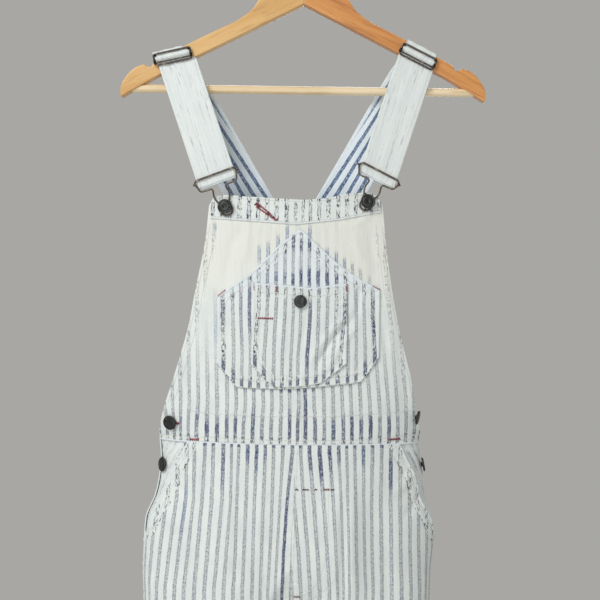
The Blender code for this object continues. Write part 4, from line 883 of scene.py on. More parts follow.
def cloth_sheet(name, points, wall, number, length, traits, inner_traits, outward=None):
    """A closed sheet with rounded rims.  points[row][column] lie on its outer face; number and length
    are the stripe count and the place along the weave; traits are values kept at every point; outward
    is (row, column, direction) where the grid's own normal may point inwards."""
    rows, columns = points.shape[:2]
    normal = grid_normals(points)
    flip = outward is not None and float(np.dot(normal[outward[0], outward[1]], outward[2])) < 0
    if flip:
        normal = -normal
    inner = points - normal * wall
    loop = boundary_loop(rows, columns)
    rim_index = np.array([r * columns + c for r, c in loop])
    middle_rim = []
    for r, c in loop:
        step = points[r, c] - points[min(max(r, 1), rows - 2), min(max(c, 1), columns - 2)]
        step = step - normal[r, c] * np.dot(step, normal[r, c])
        step = step / max(np.linalg.norm(step), 1e-12)
        middle_rim.append((points[r, c] + inner[r, c]) / 2 + step * wall * RIM_BULGE)
    vertices = np.concatenate([points.reshape(-1, 3), inner.reshape(-1, 3), np.array(middle_rim)])
    count = rows * columns
    index = np.arange(count).reshape(rows, columns)
    quads = np.stack([index[:-1, :-1], index[:-1, 1:], index[1:, 1:], index[1:, :-1]], axis=-1).reshape(-1, 4)
    here = np.arange(len(loop))
    after = (here + 1) % len(loop)
    rim_outer = [rim_index[after], rim_index[here], here + 2 * count, after + 2 * count]
    rim_inner = [after + 2 * count, here + 2 * count, rim_index[here] + count, rim_index[after] + count]
    faces = np.concatenate([quads, quads[:, ::-1] + count, np.stack(rim_outer, axis=-1),
                            np.stack(rim_inner, axis=-1)])
    item = new_object(name, vertices, (faces[:, ::-1] if flip else faces).tolist())
    mesh = item.data

    def everywhere(outer, inner):
        """Values of the outer face, of the inner face and of the rim, one after another."""
        outer, inner = [np.broadcast_to(part, (rows, columns)).astype(float).ravel()
                        for part in (outer, inner)]
        return np.concatenate([outer, inner, outer[rim_index]])

    corner = np.empty(len(mesh.loops), dtype=np.int32)
    mesh.loops.foreach_get("vertex_index", corner)
    places = np.stack([everywhere(part, part)[corner] for part in (number, length)], axis=-1)
    mesh.uv_layers.new(name="weave").data.foreach_set("uv", places.astype(np.float32).ravel())
    for word in TRAITS:
        values = everywhere(traits.get(word, 0.0), inner_traits.get(word, 0.0)).astype(np.float32)
        mesh.attributes.new(word, "FLOAT", "POINT").data.foreach_set("value", values)
    return item


class Joined:
    """Many small closed forms that become one mesh."""

    def __init__(self):
        self.vertices = []
        self.faces = []

    def add(self, vertices, faces):
        start = len(self.vertices)
        self.vertices.extend(tuple(v) for v in vertices)
        self.faces.extend(tuple(i + start for i in face) for face in faces)

    def make(self, name):
        return new_object(name, self.vertices, self.faces)


def tube_mesh(points, radius, sides=10, closed=False):
    """A round tube along points, with rounded ends; radius is one value or one for each point."""
    points = [Vector(p) for p in points]
    count = len(points)
    radii = radius if hasattr(radius, "__len__") else [radius] * count
    tangents = []
    for i in range(count):
        low, high = (i - 1, (i + 1) % count) if closed else (max(i - 1, 0), min(i + 1, count - 1))
        tangents.append((points[high] - points[low]).normalized())
    guide = Vector((0.31, -0.92, 0.23))
    side = (guide - tangents[0] * guide.dot(tangents[0])).normalized()
    rings = []
    for i in range(count):
        if i:
            side = tangents[i - 1].rotation_difference(tangents[i]) @ side
            side = (side - tangents[i] * side.dot(tangents[i])).normalized()
        rings.append((points[i], side.copy(), tangents[i].cross(side), radii[i]))
    if not closed:
        ends = [(p + t * r * 0.75, s, o, r * 0.62)
                for (p, s, o, r), t in ((rings[0], -tangents[0]), (rings[-1], tangents[-1]))]
        rings = ends[:1] + rings + ends[1:]
    angles = [2 * math.pi * k / sides for k in range(sides)]
    vertices = [p + s * (math.cos(angle) * r) + o * (math.sin(angle) * r)
                for p, s, o, r in rings for angle in angles]
    total = len(rings)
    faces = []
    for i in range(total if closed else total - 1):
        j = (i + 1) % total
        for k in range(sides):
            m = (k + 1) % sides
            faces.append((i * sides + k, i * sides + m, j * sides + m, j * sides + k))
    if not closed:
        faces += [tuple(range(sides))[::-1], tuple(range((total - 1) * sides, total * sides))]
    return vertices, faces


def smooth_path(points, steps=6):
    """Points along a Catmull-Rom curve through the given points."""
    points = [Vector(p) for p in points]
    result = []
    for i in range(len(points) - 1):
        p0, p1, p2, p3 = points[max(i - 1, 0)], points[i], points[i + 1], points[min(i + 2, len(points) - 1)]
        for k in range(steps):
            t = k / steps
            result.append(0.5 * ((2 * p1) + (p2 - p0) * t + (2 * p0 - 5 * p1 + 4 * p2 - p3) * t * t
                                 + (3 * p1 - p0 - 3 * p2 + p3) * t * t * t))
    return result + [points[-1]]


def revolve(profile, base, axis, steps):
    """A form turned round an axis from (radius, height) pairs that start and end on the axis."""
    axis = Vector(axis).normalized()
    side = axis.orthogonal().normalized()
    other = axis.cross(side)
    base = Vector(base)
    vertices = []
    faces = []
    rings = []
    for radius, height in profile:
        if radius < 1e-7:
            rings.append([len(vertices)] * steps)
            vertices.append(base + axis * height)
            continue
        rings.append([len(vertices) + k for k in range(steps)])
        for angle in [2 * math.pi * k / steps for k in range(steps)]:
            vertices.append(base + axis * height
                            + side * (radius * math.cos(angle)) + other * (radius * math.sin(angle)))
    for low, high in zip(rings[:-1], rings[1:]):
        for k in range(steps):
            m = (k + 1) % steps
            face = list(dict.fromkeys((low[k], low[m], high[m], high[k])))
            if len(face) > 2:
                faces.append(tuple(face[::-1]))
    return vertices, faces


# ------------------------------------------------------------------ materials
def linear(red, green, blue):
    """A colour given as 0..255 display values, as the shader takes it."""
    values = []
    for value in (red, green, blue):
        value = value / 255
        values.append(value / 12.92 if value <= 0.04045 else ((value + 0.055) / 1.055) ** 2.4)
    return (*values, 1.0)


class Value:
    """An output of a material's node; sums and products of it make further nodes."""

    def __init__(self, shader, socket):
        self.shader = shader
        self.socket = socket

    def __add__(self, other):
        return self.shader.math("ADD", self, other)

    def __radd__(self, other):
        return self.shader.math("ADD", other, self)

    def __sub__(self, other):
        return self.shader.math("SUBTRACT", self, other)

    def __rsub__(self, other):
        return self.shader.math("SUBTRACT", other, self)

    def __mul__(self, other):
        return self.shader.math("MULTIPLY", self, other)

    def __truediv__(self, other):
        return self.shader.math("DIVIDE", self, other)

    def __abs__(self):
        return self.shader.math("ABSOLUTE", self)


def clamped(value):
    """The same value, kept between 0 and 1."""
    value.socket.node.use_clamp = True
    return value


class Shader:
    """Short calls for building a node material."""

    def __init__(self, name):
        self.material = bpy.data.materials.new(name)
        self.material.use_nodes = True
        self.tree = self.material.node_tree

    def link(self, value, socket):
        if isinstance(value, Value):
            self.tree.links.new(value.socket, socket)
        else:
            socket.default_value = value

    def node(self, kind, inputs, output=0, **settings):
        """The output of a new node with the given inputs and settings."""
        made = self.tree.nodes.new(kind)
        for key, value in settings.items():
            setattr(made, key, value)
        for key, value in inputs.items():
            self.link(value, made.inputs[key])
        return Value(self, made.outputs[output])

    def set(self, **inputs):
        """Inputs of the surface itself, such as Base_Color."""
        for key, value in inputs.items():
            self.link(value, self.tree.nodes["Principled BSDF"].inputs[key.replace("_", " ")])

    def math(self, operation, a, b=0.5):
        return self.node("ShaderNodeMath", {0: a, 1: b}, operation=operation)

    def noise(self, vector, scale, detail=2.0, roughness=0.5, distortion=0.0):
        return self.node("ShaderNodeTexNoise", {
            "Vector": vector, "Scale": scale, "Detail": detail, "Roughness": roughness,
            "Distortion": distortion}, "Fac")

    def ramp(self, value, low, high, to_low=0.0, to_high=1.0):
        return self.node("ShaderNodeMapRange", {
            "Value": value, "From Min": low, "From Max": high, "To Min": to_low, "To Max": to_high,
        }, "Result", interpolation_type="SMOOTHSTEP")

    def mix(self, share, a, b):
        return self.node("ShaderNodeMix", {0: share, 6: a, 7: b}, 2, data_type="RGBA")

    def combine(self, x, y, z=0.0):
        return self.node("ShaderNodeCombineXYZ", {0: x, 1: y, 2: z})

    def split(self, vector):
        first = self.node("ShaderNodeSeparateXYZ", {0: vector})
        return [Value(self, output) for output in first.socket.node.outputs]

    def place(self):
        return self.node("ShaderNodeTexCoord", {}, "Object")

    def bump(self, height, strength, distance):
        return self.node("ShaderNodeBump", {
            "Height": height, "Strength": strength, "Distance": distance}, "Normal")


def denim_material(name):
    """Bleached white twill with speckled stripes whose dye is left mostly in folds and seams."""
    s = Shader(name)
    count, length, _ = s.split(s.node("ShaderNodeUVMap", {}, uv_map="weave"))
    # millimetres across and along the weave
    pitch = PITCH * 1000
    across = count * pitch
    along = length * 1000.0
    cloth_mm = s.combine(across, along)
    dye, navy_held, teal, seam, cream, vein, fresh_white_and_highlight = [
        s.node("ShaderNodeAttribute", {}, "Fac", attribute_name=word) for word in TRAITS]

    def cloud(a, b, detail=2.0, roughness=0.6, distortion=0.0):
        return s.noise(s.combine(a, b), 1.0, detail, roughness, distortion)

    # distance from the middle of the nearest stripe, in millimetres
    wobble = cloud(across * 0.12, along * 0.10, 2.0, 0.5)
    wander = (wobble - 0.5) * 1.2
    shifted = across + wander
    phase = s.math("FRACT", shifted / pitch + 0.5)
    off = abs(phase - 0.5) * pitch

    # threads that took the bleach unevenly: specks, and longer streaks along the stripe
    speck = cloud(across * 0.95, along * 0.5)
    knot = cloud(across * 0.62, along * 0.34, 1.0, 0.5)
    fine = cloud(across * 2.3, along * 0.6)
    streak = cloud(count * 3.7, along * 0.03)
    blotch = cloud(across * 0.035, along * 0.035, 3.0, 0.6)

    edge = 1.95 + (fine - 0.5) * 1.9
    band = 1.0 - s.ramp(off, edge - 0.45, edge + 0.45)
    rim = s.ramp(off, 0.5, 1.4) * 0.24
    level = streak + blotch * 0.5
    level = (level + 0.25) * s.math("MINIMUM", dye, 2.0)
    grain_level = s.ramp(speck, 0.38, 0.64, 0.16, 0.52) + s.ramp(knot, 0.4, 0.62, 0.04, 0.38)
    grainy = grain_level + rim
    cover = clamped(band * grainy * level)

    # the deep blue is uneven along each stripe
    uneven = cloud(count * 4.3, along * 0.085, 3.0, 0.65)
    navy = navy_held * s.ramp(uneven, 0.34, 0.6, 0.25, 1.0)

    # where the cloth was sewn double, the dye stays in thin broken strokes between worn ridges
    stroke = cloud(across * 0.58, along * 0.24, 1.0, 0.5, 0.9)
    patch = cloud(count * 5.3, along * 0.11, 1.0, 0.5)
    wide = 1.0 - s.ramp(off, 2.0, 2.8)
    free = s.ramp(seam, 1.05, 1.45)
    dash = wide * s.ramp(patch, 0.34, 0.5, 0.3, 1.0)
    dash = s.math("MAXIMUM", dash, free) * s.ramp(stroke, 0.52 - free * 0.05, 0.6)
    # and in loops round the stripes, broken here and there
    loop = 1.0 - s.ramp(abs(off - 1.6), 0.25, 0.75)
    loop = loop * (s.ramp(patch, 0.42, 0.56) * s.ramp(knot, 0.4, 0.52))
    dash = s.math("MAXIMUM", dash, loop * 0.6)
    dash = clamped(dash * seam)
    worn = clamped(seam * (0.7 - navy * 0.4))
    cover = clamped(cover * (0.76 - worn))
    block = cloud(count * 7.1, along * 0.17)
    held = s.ramp(block, 0.34, 0.5) * (band * s.ramp(knot, 0.36, 0.56, 0.35, 1.0))
    held = held * s.ramp(dye, 1.2, 1.9)

    # fine lengthwise creases that hold a little dye
    long_noise = cloud(across * 0.075, along * 0.0085, 2.0, 0.5)
    ridge = abs(long_noise - 0.5)
    broken = cloud(across * 0.25, along * 0.11)
    crack = 1.0 - s.ramp(ridge, 0.004, 0.016)
    crack = clamped(crack * s.ramp(broken, 0.4, 0.58) * vein)

    white = s.mix(s.ramp(blotch, 0.3, 0.7), linear(228, 236, 235), linear(236, 242, 240))
    white = s.mix(cream, white, linear(238, 240, 231))
    # a cleaner bluish white of the cloth, which along folded edges also serves as a painted highlight
    white = s.mix(fresh_white_and_highlight, white, linear(234, 243, 249))
    shade = cloud(across * 0.42, along * 0.018, 2.0, 0.5)
    white = s.mix(s.ramp(shade, 0.52, 0.72, 0.0, 0.22), white, linear(196, 202, 206))
    grey = s.mix(s.ramp(streak, 0.35, 0.65), linear(98, 110, 122), linear(98, 104, 124))
    blue = s.mix(s.ramp(streak, 0.3, 0.7), linear(48, 56, 104), linear(66, 70, 132))
    colour = s.mix(navy, grey, blue)
    colour = s.mix(teal, colour, linear(66, 108, 166))
    washed = s.mix(cover, white, colour)
    washed = s.mix(held * 0.8, washed, s.mix(navy, linear(74, 92, 116), linear(46, 52, 104)))
    washed = s.mix(crack * 0.62, washed, linear(112, 124, 140))
    ink = s.mix(navy, linear(44, 52, 66), linear(34, 38, 92))
    washed = s.mix(dash, washed, ink)
    s.set(Base_Color=washed)

    # fine diagonal twill and the fuzz of washed cotton
    twill = s.node("ShaderNodeTexWave", {
        "Vector": s.combine(across * 0.55, along * 0.55), "Scale": 0.55, "Distortion": 1.2,
    }, "Fac", wave_type="BANDS", bands_direction="DIAGONAL")
    rough = s.noise(cloth_mm, 0.55, 4.0, 0.65)
    height = twill * 0.25 + rough * 0.9
    height = height - dash * 0.5
    s.set(Normal=s.bump(height, 0.45, 0.0008), Roughness=0.88, Specular_IOR_Level=0.22, Sheen_Weight=0.12,
          Sheen_Roughness=0.5)
    return s.material


def thread_material(name, colour, dark):
    s = Shader(name)
    place = s.place()
    twist = s.noise(place, 900.0, 2.0, 0.6)
    fade = s.noise(place, 60.0, 2.0, 0.6)
    share = clamped(twist * 0.5 + fade * 0.6)
    s.set(Base_Color=s.mix(s.ramp(share, 0.35, 0.8), dark, colour), Normal=s.bump(twist, 0.5, 0.0002),
          Roughness=0.7, Sheen_Weight=0.15)
    return s.material


def metal_material(name, colour, worn, roughness):
    s = Shader(name)
    place = s.place()
    wear = s.noise(place, 220.0, 4.0, 0.65)
    fine = s.noise(place, 1400.0, 3.0, 0.6)
    s.set(Base_Color=s.mix(s.ramp(wear, 0.52, 0.74), colour, worn),
          Roughness=s.ramp(wear, 0.3, 0.8, roughness - 0.10, roughness + 0.14),
          Normal=s.bump(fine + wear * 0.6, 0.15, 0.0002), Metallic=0.85)
    return s.material


def wood_material(name, pale, deep, line, grain_turn, coat=0.35):
    """Varnished wood whose grain runs along x, turned by grain_turn degrees in the arm's plane."""
    s = Shader(name)
    turned = s.node("ShaderNodeMapping", {
        "Vector": s.place(), "Rotation": (0.0, math.radians(grain_turn), 0.0)})
    run, depth, up = s.split(turned)

    def grain(length, width, detail, roughness, distortion=0.0):
        return s.noise(s.combine(run * length, depth * width, up * width), 1.0, detail, roughness, distortion)

    tone = grain(5.0, 40.0, 3.0, 0.55, 0.4)
    streak = grain(14.0, 160.0, 4.0, 0.6, 0.3)
    pore = grain(60.0, 900.0, 2.0, 0.6)
    base = s.mix(s.ramp(tone, 0.35, 0.68), pale, deep)
    base = s.mix(s.ramp(streak, 0.50, 0.72) * 0.55, base, line)
    base = s.mix(s.ramp(pore, 0.58, 0.75) * 0.35, base, line)
    s.set(Base_Color=base, Normal=s.bump(streak + pore * 0.8, 0.18, 0.0003),
          Roughness=s.ramp(streak, 0.3, 0.7, 0.34, 0.46), Coat_Weight=coat, Coat_Roughness=0.22)
    return s.material


# ------------------------------------------------------------------ the cloth pieces
DENIM = denim_material("striped_denim")
THREAD_WHITE = thread_material("thread_white", linear(238, 238, 232), linear(198, 202, 204))
THREAD_RED = thread_material("thread_red", linear(184, 52, 74), linear(120, 30, 48))
THREAD_BROWN = thread_material("thread_brown", linear(122, 58, 44), linear(48, 26, 28))


def crowd_edges(count, edge=0.004):
    """Even steps with one narrow step at both ends, so that rims stay crisp."""
    return np.concatenate([[0.0], np.linspace(edge, 1.0 - edge, count - 1), [1.0]])


def as_grid(surface, columns, rows):
    u, v = np.meshgrid(columns, rows)
    return surface(u.ravel(), v.ravel()).reshape(len(rows), len(columns), 3)


def make_cloth(node, points, wall, number, traits):
    """One cut piece on its grid of points, with its stripe numbers and its wear."""
    z = points[..., 2]
    dyes = [np.broadcast_to(traits.get(word, 0.0), number.shape).astype(float) for word in TRAITS[:3]]
    traits = {**traits, **dict(zip(TRAITS, add_spots(node, number, z, *dyes)))}
    item = cloth_sheet("cloth_" + node, points, wall, number, -z, traits, INSIDE)
    finish_piece(item, node, "striped_denim", DENIM)


INSIDE = {"dye": 1.5, "navy": 0.3, "teal": 0.8, "fresh_white_and_highlight": 0.7}


def make_bib():
    columns = crowd_edges(96)
    rows = np.concatenate([[0.0, 0.003], np.linspace(0.006, 0.997, 150), [1.0]])
    for side, word in SIDES:
        def surface(u, v, side=side):
            return bib_half(side, u if side < 0 else 1 - u, v)

        points = as_grid(surface, columns, rows)
        x, z = points[..., 0], points[..., 2]
        bare = smooth_step((z + 0.560) / 0.110)
        dye = 0.95 - 0.95 * bare
        # under the pocket's edges and just under it the dye held
        edge = np.abs(x - read(BIB_SEAM, "x", z)) / 0.08
        dye = dye + 0.16 * np.clip(1 - edge, 0, 1) * bare * smooth_step((-0.352 - z) / 0.02)
        rim = soft_near(np.abs(x - read(BIB, word, z)), 0 * z, [(0.004, -1.0), (0.004, 1.0)], 0.010)
        seam = np.maximum(soft_near(x, z, WAIST_LINE, 0.006), soft_near(x, z, WAIST_LINE_LOW, 0.005))
        seam = np.maximum(seam, 0.45 * soft_near(x, z, WAIST_LINE_HIGH, 0.006))
        seam = np.maximum(seam, 0.5 * rim * smooth_step((-0.36 - z) / 0.02))
        under = between(z, -0.606, -0.573, 0.004)
        dye = dye + 0.35 * under
        # short dark ends right under the large pocket's bottom edge
        beneath = read_outline(LARGE_POCKET, "bottom", x) - z
        ends = smooth_step((0.0050 - beneath) / 0.002) * (beneath > -0.002) * (np.abs(x) < 0.090)
        ends = ends * (0.30 + 0.70 * smooth_step((0.021 - np.abs(x + 0.001)) / 0.006))
        dye = dye + 1.5 * ends
        # two rows of short dark dashes beside the waist's ridge
        number = stripe_count(points, BIB_LEFT_STRIPES if side < 0 else BIB_RIGHT_STRIPES)
        uneven = np.abs(np.sin(np.rint(number) * 7.13 + side))
        line_x, line_z = np.array(WAIST_LINE).T
        rise = z - np.interp(x, line_x, line_z)
        dashes = (0.5 + 0.5 * uneven) * hump(rise, 0.0012, 0.0011)
        dashes = dashes + (1 - 0.6 * uneven) * hump(rise, -0.0046, 0.0010)
        dye = dye + 1.5 * dashes
        seam = seam * (1 - 0.9 * np.clip(dashes, 0, 1))
        # the ridge at the very edge is worn white, with a painted highlight along it
        ridge = smooth_step((0.0016 - (z - WAIST_Z)) / 0.0006)
        dye, seam = faded(ridge, dye, seam)
        cream = smooth_step((z + 0.470) / 0.06) * 0.8
        traits = {"dye": dye, "navy": 0.10 + 0.20 * under + 0.4 * ends, "seam": seam, "cream": cream,
                  "vein": 0.10 * cream, "fresh_white_and_highlight": ridge}
        make_cloth("bib_" + word, points, WALL, number, traits)


def make_top_band():
    lift = PATCH_GAP + PATCH_WALL
    left_x = read(BIB, "left", BIB_TOP_Z) + BAND_INSET
    right_x = read(BIB, "right", BIB_TOP_Z) - BAND_INSET

    def surface(u, v):
        x = left_x + (right_x - left_x) * u
        top = read_outline(BIB_TOP, "z", x)
        bottom = read_outline(BAND_LOW, "z", x)
        return on_bib(x, bottom + (top - bottom) * v, lift)

    points = as_grid(surface, crowd_edges(170), crowd_edges(20, 0.03))
    x, z = points[..., 0], points[..., 2]
    lines = np.maximum(soft_near(x, z, BAND_TOP_LINE, 0.007), soft_near(x, z, BAND_LOW_LINE, 0.007))
    # a white line along the band's folded low edge: worn white, with a painted highlight along the fold
    white = smooth_step((0.0022 - (z - z[:1])) / 0.0008)
    traits = {"dye": 0.40 * (1 - white), "navy": 0.20, "teal": 0.1,
              "seam": (0.88 + 0.10 * lines) * (1 - white), "cream": 0.10, "fresh_white_and_highlight": 0.4 * white}
    make_cloth("bib_top_band", points, PATCH_WALL, stripe_count(points, BAND_STRIPES), traits)


def make_patch(node, outline, layers, columns, rows, stripes, lines, dye):
    lift = layers * (PATCH_GAP + PATCH_WALL)
    first = outline[0].x
    last = outline[-1].x

    def surface(u, v):
        x = first + (last - first) * u
        top = read_outline(outline, "top", x)
        bottom = read_outline(outline, "bottom", x)
        # the folded edge is a little wavy and thicker, as stitched cloth is
        wave = 0.00035 * ripple(x + 0.3 * layers, layers)
        tall = top - bottom
        near = np.minimum(np.minimum(v, 1 - v) * tall, np.minimum(u, 1 - u) * (last - first))
        bead = 0.0010 * hump(near, 0.0013, 0.0011)
        return on_bib(x, bottom + tall * v + wave, lift + bead)

    knots = (np.array([p.x for p in outline]) - first) / (last - first)
    steps = np.unique(np.round(np.concatenate([crowd_edges(columns), knots]), 5))
    keep = np.concatenate([[True], np.diff(steps) > 0.0012])
    steps = steps[keep]
    steps[-1] = 1.0
    points = as_grid(surface, steps, crowd_edges(rows, 0.010))
    x, z = points[..., 0], points[..., 2]
    seam = np.zeros_like(x)
    for line in lines:
        seam = np.maximum(seam, soft_near(x, z, line, 0.0060))
    # along its slanting edges the dye stayed in short dashes beside the fold, and above its bottom
    # edge in dark blocks of uneven height
    number = stripe_count(points, stripes)
    tall = 0.0065 + 0.0065 * np.abs(np.sin(np.rint(number) * 12.99 + layers))
    navy = 0.10 + 0 * x
    dye = dye + 0 * x
    for row, rise in ((0, "bottom"), (-1, "top")):
        run_x = np.abs(np.gradient(x[row]))
        lean = np.abs(np.gradient(read_outline(outline, rise, x[row]))) / run_x
        beside = np.abs(z - z[row][None, :]) / np.hypot(1, lean)[None, :]
        slanting = (lean > 0.35)[None, :] * (beside < 0.0014)
        if rise == "bottom":
            block = smooth_step((tall - beside) / 0.006) * smooth_step((beside - 0.0014) / 0.001)
            dye = dye + 1.4 * block
            navy = np.maximum(navy, 0.40 * block)
            seam = seam * (1 - 0.8 * block)
        else:
            seam = np.maximum(seam, 0.95 * smooth_step((0.0115 - beside) / 0.002))
        seam = np.where(slanting, 1.35 if rise == "bottom" else 1.16, seam * 0.95)
    # the fold of the top edge is worn white, with a painted highlight along it
    white = smooth_step((0.0026 - beside) / 0.0010)
    dye, navy, seam = faded(white, dye, navy, seam)
    fresh_white_and_highlight = 0.6 * smooth_step((z + 0.47) / 0.05) if layers == 1 else 0.0
    fresh_white_and_highlight = np.maximum(fresh_white_and_highlight, white)
    traits = {"dye": dye, "navy": navy, "seam": seam, "fresh_white_and_highlight": fresh_white_and_highlight}
    make_cloth(node, points, PATCH_WALL, number, traits)


def leg_edge_relief(points, amplitude=0.0005):
    """Uneven gathers beside the long seams and above the hem of a trouser panel."""
    z = points[..., 2]
    length = run_across(points)
    total = length[:, -1:]
    near_first = hump(length, 0, 0.008)
    near_last = hump(total - length, 0, 0.008)
    hem = hump(z - HEM_Z, 0.011, 0.009)
    push = near_first * ripple(z, 0.6) + near_last * ripple(z, 2.4)
    push = push + hem * ripple(length + 0.6 * (z - HEM_Z), 1.1)
    groove = hump(z - HEM_Z, HEM_STITCH, 0.0016)
    push = amplitude * push * smooth_step((total - length) / 0.0015) * smooth_step(length / 0.0015)
    push = push - 0.0005 * groove
    return points + grid_normals(points) * push[..., None]


def make_legs():
    fine = np.linspace(WAIST_Z - HALF_GAP, -0.800, 112)
    coarse = np.linspace(-0.800, HEM_Z, 162)[1:]
    for side, word in SIDES:
        for face, place, other in ((FRONT, "front", "back"), (REAR, "back", "front")):
            near_waist = fine[::2]
            if face == FRONT:
                near_waist = np.concatenate([[fine[0], fine[0] - 0.0006], fine[1:]])
            heights = np.concatenate([near_waist, coarse])[::-1]
            rows = np.linspace(0.0, 1.0, len(heights))

            def surface(u, v, side=side, face=face, heights=heights, rows=rows):
                z = np.interp(v, rows, heights)
                t = u if side * face < 0 else 1 - u
                turn = np.full_like(z, OUTSEAM_TURN[side] - face * SEAM_TURN)
                if face == FRONT:
                    turn = np.minimum(turn, pocket_turn(side, z))
                return trousers(side, face, t, z, turn)

            points = leg_edge_relief(as_grid(surface, crowd_edges(104 if face == FRONT else 72), rows))
            z = points[..., 2]
            length = run_across(points)
            from_outside = length if side * face < 0 else length[:, -1:] - length
            edge = np.minimum(length, length[:, -1:] - length)
            seam = 0.8 * smooth_step((z + 0.614) / 0.004)
            seam = np.maximum(seam, 0.35 * smooth_step((0.005 - edge) / 0.003))
            seam = np.maximum(seam, 0.5 * smooth_step((HEM_Z + 0.026 - z) / 0.003))
            dye = np.full_like(z, 1.0) + 0.25 * smooth_step((z + 0.645) / 0.03)
            # the stripes' ends are darkest right under the waist seam
            under = smooth_step((z - z[-1].mean() + 0.0036) / 0.0012) if face == FRONT else 0.0
            dye = dye + 2.2 * under
            seam = seam * (1 - under)
            fold = 0.0
            if face == FRONT:
                on_pocket = smooth_step((z + 0.735) / 0.02)
                strip = smooth_step((0.0165 - from_outside) / 0.002) * on_pocket
                dye = dye * (1 - 0.85 * strip)
                seam = np.maximum(seam, 0.85 * strip)
                row = hump(from_outside, HIP_STITCH, 0.0010) * on_pocket
                seam = np.where(row > 0.5, 1.30, seam)
                # the fold along the pocket's edge is worn white, with a painted highlight along it
                fold = smooth_step((0.0026 - from_outside) / 0.0010) * on_pocket
                dye, seam = faded(fold, dye, seam)
                bead = 0.0008 * hump(from_outside, 0.0016, 0.0015) * on_pocket
                groove = -0.0005 * hump(from_outside, HIP_STITCH, 0.0013) * on_pocket
                points = points + grid_normals(points) * (bead + groove)[..., None]
                number = stripe_count(points, LEG_LEFT_STRIPES if side < 0 else LEG_RIGHT_STRIPES)
            else:
                number = 0.35 + (length[:, -1:] - length if side < 0 else length) / PITCH
            traits = {"dye": dye, "navy": 0.14 + 0.4 * under, "seam": seam, "fresh_white_and_highlight": fold}
            make_cloth(f"leg_{place}_{word}", points, WALL, number, traits)


def make_hip_facings():
    top_z = WAIST_Z - HALF_GAP
    for side, word in SIDES:
        outer = OUTSEAM_TURN[side] - SEAM_TURN

        def surface(u, v, side=side, outer=outer):
            z = FACING_LOW_Z + (top_z - FACING_LOW_Z) * v
            inner = np.minimum(pocket_turn(side, z), outer) - FACING_LAP
            t = u if side < 0 else 1 - u
            turn = outer * (1 - t) + inner * t
            return trousers(side, FRONT, 0 * t, z, turn, -(WALL + FACING_GAP))

        shares = crowd_edges(76, 0.008)
        points = leg_edge_relief(as_grid(surface, shares, crowd_edges(72, 0.004)), 0.0004)
        z = points[..., 2]
        length = run_across(points)
        number = (length if side > 0 else length[:, -1:] - length) / PITCH + 0.2
        outside = length if side < 0 else length[:, -1:] - length
        seam = 0.35 + 0.4 * smooth_step((0.006 - outside) / 0.004)
        teal = between(z, -0.668, -0.640, 0.006)
        dye = 0.10 + 0.8 * teal * (np.rint(number) == (1 if side < 0 else 2))
        if side > 0:
            dye = dye + 0.9 * between(z, -0.640, -0.614, 0.006)
        # a broken dark band on the facing right beside the leg panel's folded edge: painted shadow of that
        # edge
        edge_turn = np.minimum(pocket_turn(side, z), outer)
        t = shares[None, :] if side < 0 else 1 - shares[None, :]
        turn = outer * (1 - t) + (edge_turn - FACING_LAP) * t
        seam = np.where(np.abs(turn - edge_turn) * 0.10 < 0.0024, 1.4, seam)
        traits = {"dye": dye, "navy": 0.35 if side < 0 else 0.8, "teal": teal * 0.8, "seam": seam}
        make_cloth("hip_facing_" + word, points, WALL, number, traits)


def make_back():
    def surface(u, v):
        return back_surface(1 - 2 * u, v)

    columns = np.unique(np.round(np.concatenate([crowd_edges(118), [0.5]]), 5))
    rows = np.concatenate([[0.0, 0.003], np.linspace(0.008, 0.994, 112), [1.0]])
    points = as_grid(surface, columns, rows)
    z = points[..., 2]
    length = run_across(points)
    middle = length[:, len(columns) // 2][:, None]
    number = (length - middle) / PITCH + 0.5
    top = PEAK_Z - BACK_SLOPE * BACK_SHOULDER * np.abs(1 - 2 * columns)[None, :]
    seam = 0.8 * smooth_step((0.012 - (top - z)) / 0.005)
    edge = np.minimum(length, length[:, -1:] - length)
    seam = np.maximum(seam, 0.6 * smooth_step((0.012 - edge) / 0.005))
    seam = np.maximum(seam, 0.8 * smooth_step((-0.597 - z) / 0.004))
    dye = 0.85 + 0.25 * smooth_step((-0.560 - z) / 0.03)
    traits = {"dye": dye, "navy": 0.2, "seam": seam, "cream": 0.15}
    make_cloth("back_panel", points, WALL, number, traits)


def strap_grid(plan, columns=26, steps=5):
    """The strap's inner face, drawn smoothly through its stations, and how far each row has run."""
    stations = strap_stations(plan)
    centres = [Vector((s.x, s.y, s.z)) for s in stations]
    path = smooth_path(centres, steps)
    spots = np.linspace(0, len(stations) - 1, len(path))
    tilt = np.interp(spots, np.arange(len(stations)), [s.tilt for s in stations])
    half = np.interp(spots, np.arange(len(stations)), [s.half for s in stations])
    path_array = np.array([tuple(p) for p in path])
    run = np.concatenate([[0.0], np.cumsum(np.linalg.norm(np.diff(path_array, axis=0), axis=1))])
    widths = crowd_edges(columns, 0.02) * 2 - 1
    points = np.empty((len(path), len(widths), 3))
    for i, centre in enumerate(path):
        direction = across(plan.side, float(tilt[i]))
        for j, share in enumerate(widths):
            points[i, j] = tuple(centre + direction * (share * float(half[i])))
    return points, run, widths, half


